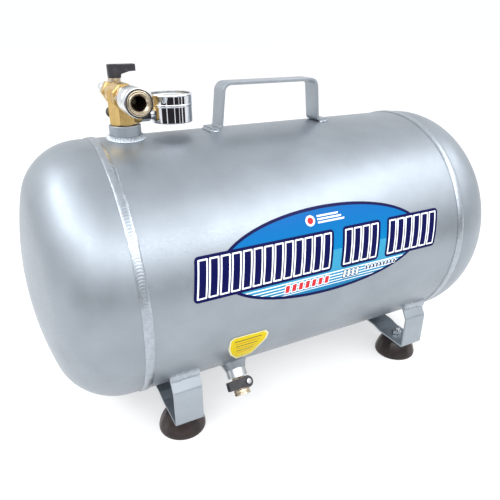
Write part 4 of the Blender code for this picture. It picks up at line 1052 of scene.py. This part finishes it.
def make_dial(disc):
    """The white dial with its scale: ticks, plain numbers and a red zone."""
    face = above_port(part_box("gauge_dial")[1].z)
    plate = soft([(disc, face), (disc, face - 0.6), (1.3, face - 0.6), (1.3, face)], 0.1)
    piece("gauge_dial_plate", placed(lathe(plate), GAUGE_AXIS), DIAL_WHITE, stands_for=["gauge_dial"])
    marks = bmesh.new()
    divisions = 30
    for i in range(divisions + 1):
        angle = DIAL_START - DIAL_SWEEP * i / divisions
        major = i % 5 == 0
        inner, half = (12.2, 0.32) if major else (13.8, 0.16)
        tick = box_mesh((inner, -half, face), (TICK_OUTER, half, face + INK))
        add_to(marks, placed(tick, GAUGE_AXIS, Matrix.Rotation(angle, 4, "Z")))
    piece("gauge_dial_ticks", marks, DARK_PRINT)
    ring = [(17.1, face + 0.05), (16.7, face + 0.05), (16.7, face), (17.1, face)]
    piece("gauge_dial_ring", placed(lathe(ring), GAUGE_AXIS), DARK_PRINT)
    steps = 20
    outer_points, inner_points = [], []
    for i in range(steps + 1):
        angle = DIAL_START - DIAL_SWEEP * (0.8 + 0.2 * i / steps)
        outer_points.append((11.6 * math.cos(angle), 11.6 * math.sin(angle)))
        inner_points.append((10.8 * math.cos(angle), 10.8 * math.sin(angle)))
    zone = extruded(outer_points + inner_points[::-1], face, face + 0.05)
    piece("gauge_dial_zone", placed(zone, GAUGE_AXIS), PRINT_RED)
    for i, number in enumerate((0, 2, 4, 6, 8, 10, 12)):
        angle = DIAL_START - DIAL_SWEEP * i / 6
        make_number(number, dial_point(angle, 9.2, face))


def make_number(number, at):
    """One number of the dial, as a thin printed mesh."""
    text = bpy.data.curves.new("number", "FONT")
    text.body = str(number)
    text.size = 3.0 * MM
    text.extrude = 0.03 * MM
    text.align_x = "CENTER"
    text.align_y = "CENTER"
    holder = bpy.data.objects.new("number", text)
    bpy.context.scene.collection.objects.link(holder)
    shape = bmesh.new()
    shape.from_mesh(holder.evaluated_get(bpy.context.evaluated_depsgraph_get()).to_mesh())
    bpy.data.objects.remove(holder)
    bpy.data.curves.remove(text)
    piece(f"gauge_number_{number}", placed(shape, at + Vector((0, 0, 0.03 * MM))), DARK_PRINT)


def add_to(target, extra):
    """Copy one mesh into another."""
    data = bpy.data.meshes.new("extra")
    extra.to_mesh(data)
    extra.free()
    target.from_mesh(data)
    bpy.data.meshes.remove(data)


def make_needle():
    """The black needle on its spindle, pointing to zero."""
    low = above_port(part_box("gauge_dial")[1].z) + 0.9
    outline = [(-15.5, -0.12), (-15.5, 0.12), (-2, 0.75), (2, 0.9), (5.5, 1.2), (5.5, -1.2), (2, -0.9),
               (-2, -0.75)]
    blade = extruded(outline, low + 0.2, low + 0.6)
    hub = lathe(soft([(0, low + 1), (2, low + 1), (2.4, low + 0.6), (2.4, low), (0.9, low), (0.9, low - 8),
                      (0, low - 8)], 0.15), 48)
    shape = merged(hub, ("UNION", blade))
    turn = Matrix.Rotation(math.radians(45), 4, "Z")
    piece("gauge_needle_pointer", placed(shape, GAUGE_AXIS, turn), BLACK, "gauge_needle",
          ["gauge_needle"])


# --- Safety valve and drain valve -----------------------------------------------------------------

def make_safety_valve():
    """The safety valve behind the manifold: body, spring and pull ring. The stem with its eye is left to the CAD
    node.
    """
    body = [(2, 6), (4.7, 6), (4.7, 11.9)] + hex_rings(12, 11.9, 17)
    body += [(5.2, 17), (5.2, 20.2), (4.9, 20.5), (4.9, 21), (5.2, 21.3), (5.2, 26), (4.5, 27), (1.8, 27),
             (1.8, 25), (3.5, 25), (3.5, 9), (2, 9)]
    piece("safety_valve_turned", placed(lathe(body, 72), SIDE_PORTS, TO_BACK), BRASS,
          stands_for=["safety_valve_body"])
    spring = placed(helix(2.5, 0.35, 12.9, 24.2, 5), SIDE_PORTS, TO_BACK)
    made = piece("safety_spring_coil", spring, STEEL, "root", ["safety_spring"])
    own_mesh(made)
    low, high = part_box("safety_pull_ring")
    wire = (high.z - low.z) / 2 / MM
    radius = (high.x - low.x) / 2 / MM - wire
    section = [(radius + wire * math.cos(2 * math.pi * i / 12), -wire * math.sin(2 * math.pi * i / 12))
               for i in range(12)]
    piece("safety_ring_wire", placed(lathe(section), (low + high) / 2), DARK_BRASS_AND_SHADE, "safety_ring",
          ["safety_pull_ring"])


def drain_frame():
    """Axes of the drain lever: origin on the stem's axis, Z out along the stem, X along the handle."""
    out = DRAIN_STEM.normalized()
    along = DRAIN_OUT.cross(out).normalized()
    if along.x < 0:
        along = -along
    third = out.cross(along)
    turn = Matrix((along, third, out)).transposed().to_4x4()
    return Matrix.Translation(joint("drain_turn")["pos_m"]) @ turn


def make_drain_valve():
    """The drain valve: brass housing with its stem neck, outlet, black lever and pivot screw."""
    spindle = drain_frame()
    profile = soft([(8, 160), (8, 149.8), (7.2, 149.2), (6.5, 147.2), (6.5, 134), (2.8, 134), (2.8, 148),
                    (5.5, 148), (5.5, 160)], 0.35)
    housing = placed(lathe(profile), (0, 0, 0), DRAIN_TURN)
    neck = placed(rod(4.4, 5.5, 10, 48, 0.4), (0, 0, 0), spindle)
    bore = placed(rod(2, 3, 15, 32), (0, 0, 0), spindle)
    piece("drain_housing_turned", merged(housing, ("UNION", neck), ("DIFFERENCE", bore)), PALE_BRASS,
          stands_for=["drain_valve_housing"])
    outlet = soft([(8.3, 166), (8.7, 165.5), (8.7, 163.9), (8.2, 163.5), (8.2, 163), (8.7, 162.6),
                   (8.7, 160.3), (2.8, 160.3), (2.8, 163), (5.2, 163), (5.2, 166)], 0.25)
    piece("drain_outlet_turned", placed(lathe(outlet), (0, 0, 0), DRAIN_TURN), PALE_BRASS,
          stands_for=["drain_outlet"])
    low, thick, end, length = 11.6, 5.6, 6.1, 24.4
    tip = end - length - end
    outline = [(tip, -4.2), (tip, 4.2), (tip + 0.8, 4.7), (-3.5, 5)]
    outline += [(end * math.sin(math.radians(a)), end * math.cos(math.radians(a)))
                for a in range(0, 181, 12)]
    outline += [(-3.5, -5), (tip + 0.8, -4.7)]
    shape = merged(extruded(outline, low, low + thick), ("DIFFERENCE", rod(2, 0, 30, 32)), bevel=0.6)
    piece("drain_lever_moulded", placed(shape, (0, 0, 0), spindle), BLACK, "drain_lever", ["drain_lever"])
    screw = screw_shape(2.9, 1.2, low + thick + 0.3, 1.6, 4.4)
    piece("drain_screw_head", placed(screw, (0, 0, 0), spindle), STEEL, "drain_lever",
          ["drain_lever_screw"])


# --- Printed stickers -----------------------------------------------------------------------------

FOIL = 0.05                 # thickness of one printed layer
LAYER_STEP = 0.04           # from one layer's face to the next
FIRST_LAYER = 0.3           # of the lowest layer's face above the paint
DECAL_X = 3.0
OVAL_HALF = (117.0, 43.7)   # half length, and half height along the tank's curve
OVAL_MIDDLE = 32.3          # height of the oval's middle along the curve, above the horizontal
OVAL_BORDER = 3.2
BEYOND = 100                # past the oval's ends along the curve
PINSTRIPES = (8.6, 5.4, 2.4, -0.6, -3.4)    # their heights along the curve


def printed(name, outline, layer, material, stands_for=(), curl=None):
    """A thin print wrapped on the barrel. The outline is (x, height along the curve) in millimetres."""
    shape = bmesh.new()
    shape.faces.new([shape.verts.new((x * MM, s * MM, 0)) for x, s in outline])
    heights = [s for _, s in outline]
    band = 2.5
    cut = (math.floor(min(heights) / band) + 1) * band
    while cut < max(heights):
        everything = shape.verts[:] + shape.edges[:] + shape.faces[:]
        bmesh.ops.bisect_plane(shape, geom=everything, plane_co=(0, cut * MM, 0), plane_no=(0, 1, 0))
        cut += band
    if curl is not None:
        bmesh.ops.triangulate(shape, faces=shape.faces)
    base = TANK_RADIUS + (FIRST_LAYER + LAYER_STEP * layer) * MM
    for vertex in shape.verts:
        x, s = vertex.co.x, vertex.co.y
        lift = curl(x, s) if curl else 0.0
        vertex.co = on_tank(x, s / TANK_RADIUS, base + lift)
    bmesh.ops.recalc_face_normals(shape, faces=shape.faces)
    middle_face = shape.faces[:][0]
    if middle_face.normal.dot(off_tank(middle_face.calc_center_median())) < 0:
        bmesh.ops.reverse_faces(shape, faces=shape.faces)
    bmesh.ops.solidify(shape, geom=shape.faces[:], thickness=-FOIL * MM)
    return piece(name, shape, material, "root", stands_for)


def oval(inset, count=120):
    """The outline of the decal's oval, set in from its edge."""
    half_x, half_s = OVAL_HALF[0] - inset, OVAL_HALF[1] - inset
    return [(DECAL_X + half_x * math.cos(2 * math.pi * i / count),
             OVAL_MIDDLE + half_s * math.sin(2 * math.pi * i / count)) for i in range(count)]


def oval_part(inset, low, high, count=60):
    """The part of the oval between two heights along the curve."""
    half_x, half_s = OVAL_HALF[0] - inset, OVAL_HALF[1] - inset
    low = max(low, OVAL_MIDDLE - half_s * 0.999)
    high = min(high, OVAL_MIDDLE + half_s * 0.999)
    right = []
    for i in range(count + 1):
        s = low + (high - low) * i / count
        right.append((half_x * math.sqrt(1 - ((s - OVAL_MIDDLE) / half_s) ** 2), s))
    return [(DECAL_X + x, s) for x, s in right] + [(DECAL_X - x, s) for x, s in right[::-1]]


BLOCKS = ((-139.5, 10.5, 13), (14.5, 68.0, 4), (70.0, 146.0, 6))   # (left, right, number of bars)
BLOCK_S = (11.0, 51.5)
LEAN = 0.16                 # how far the blocks and bars lean right for each millimetre up


def leaning(left, right, low, high, corner=0.0):
    """A block that leans right, with rounded corners. Its sides are measured at its foot."""
    shift = (high - low) * LEAN
    corners = [(left, low), (right, low), (right + shift, high), (left + shift, high)]
    points = []
    for i, spot in enumerate(corners):
        points += arc_corner(corners[i - 1], spot, corners[(i + 1) % 4], corner, 5)
    return [tuple(p) for p in points]


def leaning_bars(name, left, right, low, high, count, layer, edge, edge_material, material):
    """A row of leaning bars with a keyline round each."""
    pitch = (right - left) / count
    for i in range(count):
        start, end = left + pitch * i + 0.6, left + pitch * (i + 1) - 0.6
        printed(f"{name}_edge_{i + 1}", leaning(start, end, low, high, 0.8), layer, edge_material)
        inner = leaning(start + edge * 1.02, end - edge * 0.98, low + edge, high - edge, 0.5)
        shift = edge * LEAN
        printed(f"{name}_{i + 1}", [(x + shift, s) for x, s in inner], layer + 1, material)


def make_decal():
    """The front decal: an oval crossed by three blocks of leaning bars, with no lettering."""
    printed("decal_oval_edge", oval(0), 0, NAVY, ["front_decal"])
    split = sum(BLOCK_S) / 2
    printed("decal_oval_upper", oval_part(OVAL_BORDER, split, BEYOND), 1, PRINT_BLUE)
    printed("decal_oval_lower", oval_part(OVAL_BORDER, -BEYOND, split), 1, PRINT_SKY)
    for i, s in enumerate(PINSTRIPES):
        thick = 1.1 - 0.1 * i
        stripe = oval_part(OVAL_BORDER, s - thick / 2, s + thick / 2, 4)
        printed(f"decal_pinstripe_{i + 1}", stripe, 2, PRINT_WHITE)
    low, high = BLOCK_S
    for i, (left, right, count) in enumerate(BLOCKS):
        right_foot = right - (high - low) * LEAN
        printed(f"decal_block_{i + 1}", leaning(left, right_foot, low, high, 4), 3, NAVY)
        leaning_bars(f"decal_bar_{i + 1}", left + 2.6, right_foot - 1.6, low + 2.8, high - 2.8, count, 4,
                     1.5, PRINT_WHITE, NAVY)
    make_badge()
    leaning_bars("decal_red_bar", -50, 2, -1.8, 7.2, 7, 3, 0.9, PRINT_WHITE, PRINT_RED)
    leaning_bars("decal_white_bar", 17, 38, -0.6, 8.4, 4, 3, 0.8, NAVY, PRINT_WHITE)
    leaning_bars("decal_small_bar", 45, 86, 2.2, 7.6, 9, 3, 0.6, PRINT_WHITE, NAVY)


def make_badge():
    """A plain badge in the oval's upper part: a ring beside three short bars."""
    centre = Vector((-14.0, 63.0))
    radius, core_share = 5.2, 0.62
    rim = [Vector((math.cos(2 * math.pi * i / 40), math.sin(2 * math.pi * i / 40))) * radius
           for i in range(40)]
    printed("decal_badge_ring", [tuple(centre + spot) for spot in rim], 2, PRINT_WHITE)
    printed("decal_badge_core", [tuple(centre + spot * core_share) for spot in rim], 3, PRINT_RED)
    for i in range(3):
        s = 59.2 + 3.1 * i
        end = 24 - 3 * i
        bar = [(-6, s), (end, s), (end + 1, s + 1.7), (-6, s + 1.7)]
        printed(f"decal_badge_bar_{i + 1}", bar, 2, PRINT_WHITE)


def caution_outline(inset):
    """The small sticker's outline, as (x, height along the curve): a block with a slanting lower side."""
    per_degree = math.radians(1) * TANK_RADIUS / MM
    corners = [(-102.6, -25.2), (-97.5, -31.5), (-88, -37.5), (-77, -39.2), (-70.5, -37.0), (-66.2, -30.2),
               (-60.8, -24.6), (-60.4, -20.4), (-64.8, -18.0), (-98.8, -17.6), (-102.8, -18.9)]
    centre = Vector((-81, -25.5 * per_degree))
    points = []
    for x, angle in corners:
        spot = Vector((x, angle * per_degree))
        points.append(tuple(spot + (centre - spot).normalized() * inset))
    return points


def make_caution_sticker():
    """The yellow sticker: pale edge, yellow field and plain bars, with one corner lifting off."""
    per_degree = math.radians(1) * TANK_RADIUS / MM
    corner = Vector((-88 * MM, -38 * per_degree * MM))
    curl_reach, curl_lift = 11 * MM, 1.1 * MM

    def curl(x, s):
        near = max(0.0, 1 - (Vector((x, s)) - corner).length / curl_reach)
        return curl_lift * near ** 2
    printed("caution_edge", caution_outline(0), 0, PALE_YELLOW, ["caution_sticker"], curl)
    printed("caution_field", caution_outline(2.0), 1, YELLOW, curl=curl)
    for i in range(6):
        s = (-21.2 - 2.0 * i) * per_degree
        left, right = -97 + 1.2 * i, -68 - 1.3 * i
        printed(f"caution_bar_{i + 1}", [(left, s), (right, s), (right, s + 1.1), (left, s + 1.1)], 2,
                ORANGE if i % 2 else DARK_PRINT, curl=curl)


# --- CAD nodes that stay, studio and camera -------------------------------------------------------

def refinish_cad():
    """Give the CAD nodes that are still shown their better materials."""
    finishes = {"valve_ball": NICKEL, "valve_stem": NICKEL, "ball_seat_front": SEAT_WHITE,
                "ball_seat_back": SEAT_WHITE, "safety_stem": NICKEL, "bourdon_tube": PALE_BRASS,
                "drain_ball": NICKEL, "drain_stem": NICKEL}
    for node, material in finishes.items():
        data = frame["nodes"][node].data
        data.materials.clear()
        data.materials.append(material)


def make_floor():
    """A plain pale floor that reaches past the camera's view."""
    shape = bmesh.new()
    bmesh.ops.create_grid(shape, x_segments=12, y_segments=12, size=12.0)
    stage_piece("studio_floor", shape, floor_paint("studio_floor_paint"))


def stage_piece(name, shape, material):
    """Turn a mesh into a part of the studio."""
    data = bpy.data.meshes.new(name)
    shape.to_mesh(data)
    shape.free()
    data.materials.append(material)
    thing = bpy.data.objects.new(name, data)
    bpy.context.scene.collection.objects.link(thing)
    return thing


def direction(azimuth, elevation):
    """A direction in degrees. Azimuth 0 is straight in front of the tank, 90 along +X."""
    a, e = math.radians(azimuth), math.radians(elevation)
    return Vector((math.sin(a) * math.cos(e), -math.cos(a) * math.cos(e), math.sin(e)))


def add_light(name, azimuth, elevation, distance, size, glow):
    """A rectangular area light aimed at the tank. glow is how bright it looks, with 1 for white."""
    away = direction(azimuth, elevation)
    data = bpy.data.lights.new(name, "AREA")
    data.shape = "RECTANGLE"
    data.size, data.size_y = size
    data.energy = glow * math.pi * size[0] * size[1]
    data.color = (0.96, 0.98, 1.0)
    lamp = bpy.data.objects.new(name, data)
    lamp.location = Vector((0, 0, AXIS_Z)) + away * distance
    lamp.rotation_euler = away.to_track_quat("Z", "Y").to_euler()
    bpy.context.scene.collection.objects.link(lamp)
    return lamp


def make_cards():
    """Low dark cards behind the camera, which the chrome and the brass reflect as dark bands. They are
    hidden from the camera, so that they don't stand behind the tank in the back views."""
    paint = plain_vinyl("card_black", (0.02, 0.018, 0.02), 0.8, 0.9)
    for i, (azimuth, width, high) in enumerate(CARDS):
        away = direction(azimuth, 0)
        card = box_mesh((-width / 2, -5, 0), (width / 2, 5, high))
        turn = Matrix.Rotation(math.radians(azimuth), 4, "Z")
        card = stage_piece(f"studio_card_{i + 1}", placed(card, away * CARD_DISTANCE, turn), paint)
        card.visible_camera = False


# Softboxes as (azimuth, elevation, glow), and dark cards as (azimuth, width, height in millimetres).
SOFTBOXES = ((58, 41, 3.7), (20, 34, 4.1), (-26, 36, 2.8), (-66, 38, 4.2), (-110, 40, 4.8))
SOFTBOX_SIZE = (1.0, 0.32)
HALO_SIZE = (1.3, 1.35)
HALO_RISE = 1               # degrees the halo's middle is above its softbox
HALO_GLOW = 0.8
SOFTBOX_DISTANCE = 1.6
CARDS = ((-62, 560, 240), (-27, 800, 300), (6, 500, 300), (27, 300, 300), (47, 340, 300))
CARD_DISTANCE = 1.25
KEY_LIGHT = (134, 42, 1.8, (0.35, 0.35), 14)    # azimuth, elevation, distance, size, glow


def make_studio():
    """Even light all round, a row of softboxes on the front and left, and a key at the back right."""
    world = bpy.data.worlds.new("studio")
    world.use_nodes = True
    background = world.node_tree.nodes["Background"]
    background.inputs["Color"].default_value = (0.97, 0.985, 1.0, 1.0)
    background.inputs["Strength"].default_value = 1.02
    bpy.context.scene.world = world
    bpy.context.scene.view_settings.view_transform = "Standard"
    for i, (azimuth, elevation, glow) in enumerate(SOFTBOXES):
        add_light(f"softbox_{i + 1}", azimuth, elevation, SOFTBOX_DISTANCE, SOFTBOX_SIZE, glow)
        add_light(f"halo_{i + 1}", azimuth, elevation + HALO_RISE, SOFTBOX_DISTANCE, HALO_SIZE, HALO_GLOW)
    key = add_light("key_light", *KEY_LIGHT)
    key.visible_glossy = False
    make_floor()
    make_cards()


CAMERA_SENSOR = 36
CAMERA_LENS = 35.3
CAMERA_SHIFT = 0.0381
CAMERA_AT = (-0.26276, -0.47386, 0.38266)
CAMERA_AIM = (0.4113, 0.7967, -0.4429)      # the direction the camera looks in


def make_camera():
    """The camera at the photograph's viewing angle."""
    data = bpy.data.cameras.new("camera")
    data.sensor_width = CAMERA_SENSOR
    data.lens = CAMERA_LENS
    data.shift_y = CAMERA_SHIFT
    data.clip_start = 0.02
    camera = bpy.data.objects.new("camera", data)
    camera.location = CAMERA_AT
    camera.rotation_euler = Vector(CAMERA_AIM).to_track_quat("-Z", "Y").to_euler()
    bpy.context.scene.collection.objects.link(camera)
    bpy.context.scene.camera = camera


make_tank()
make_bosses()
make_handle()
make_cradles()
make_manifold()
make_ball_valve()
make_plug()
make_coupler()
make_gauge()
make_safety_valve()
make_drain_valve()
make_decal()
make_caution_sticker()
refinish_cad()
make_studio()
make_camera()
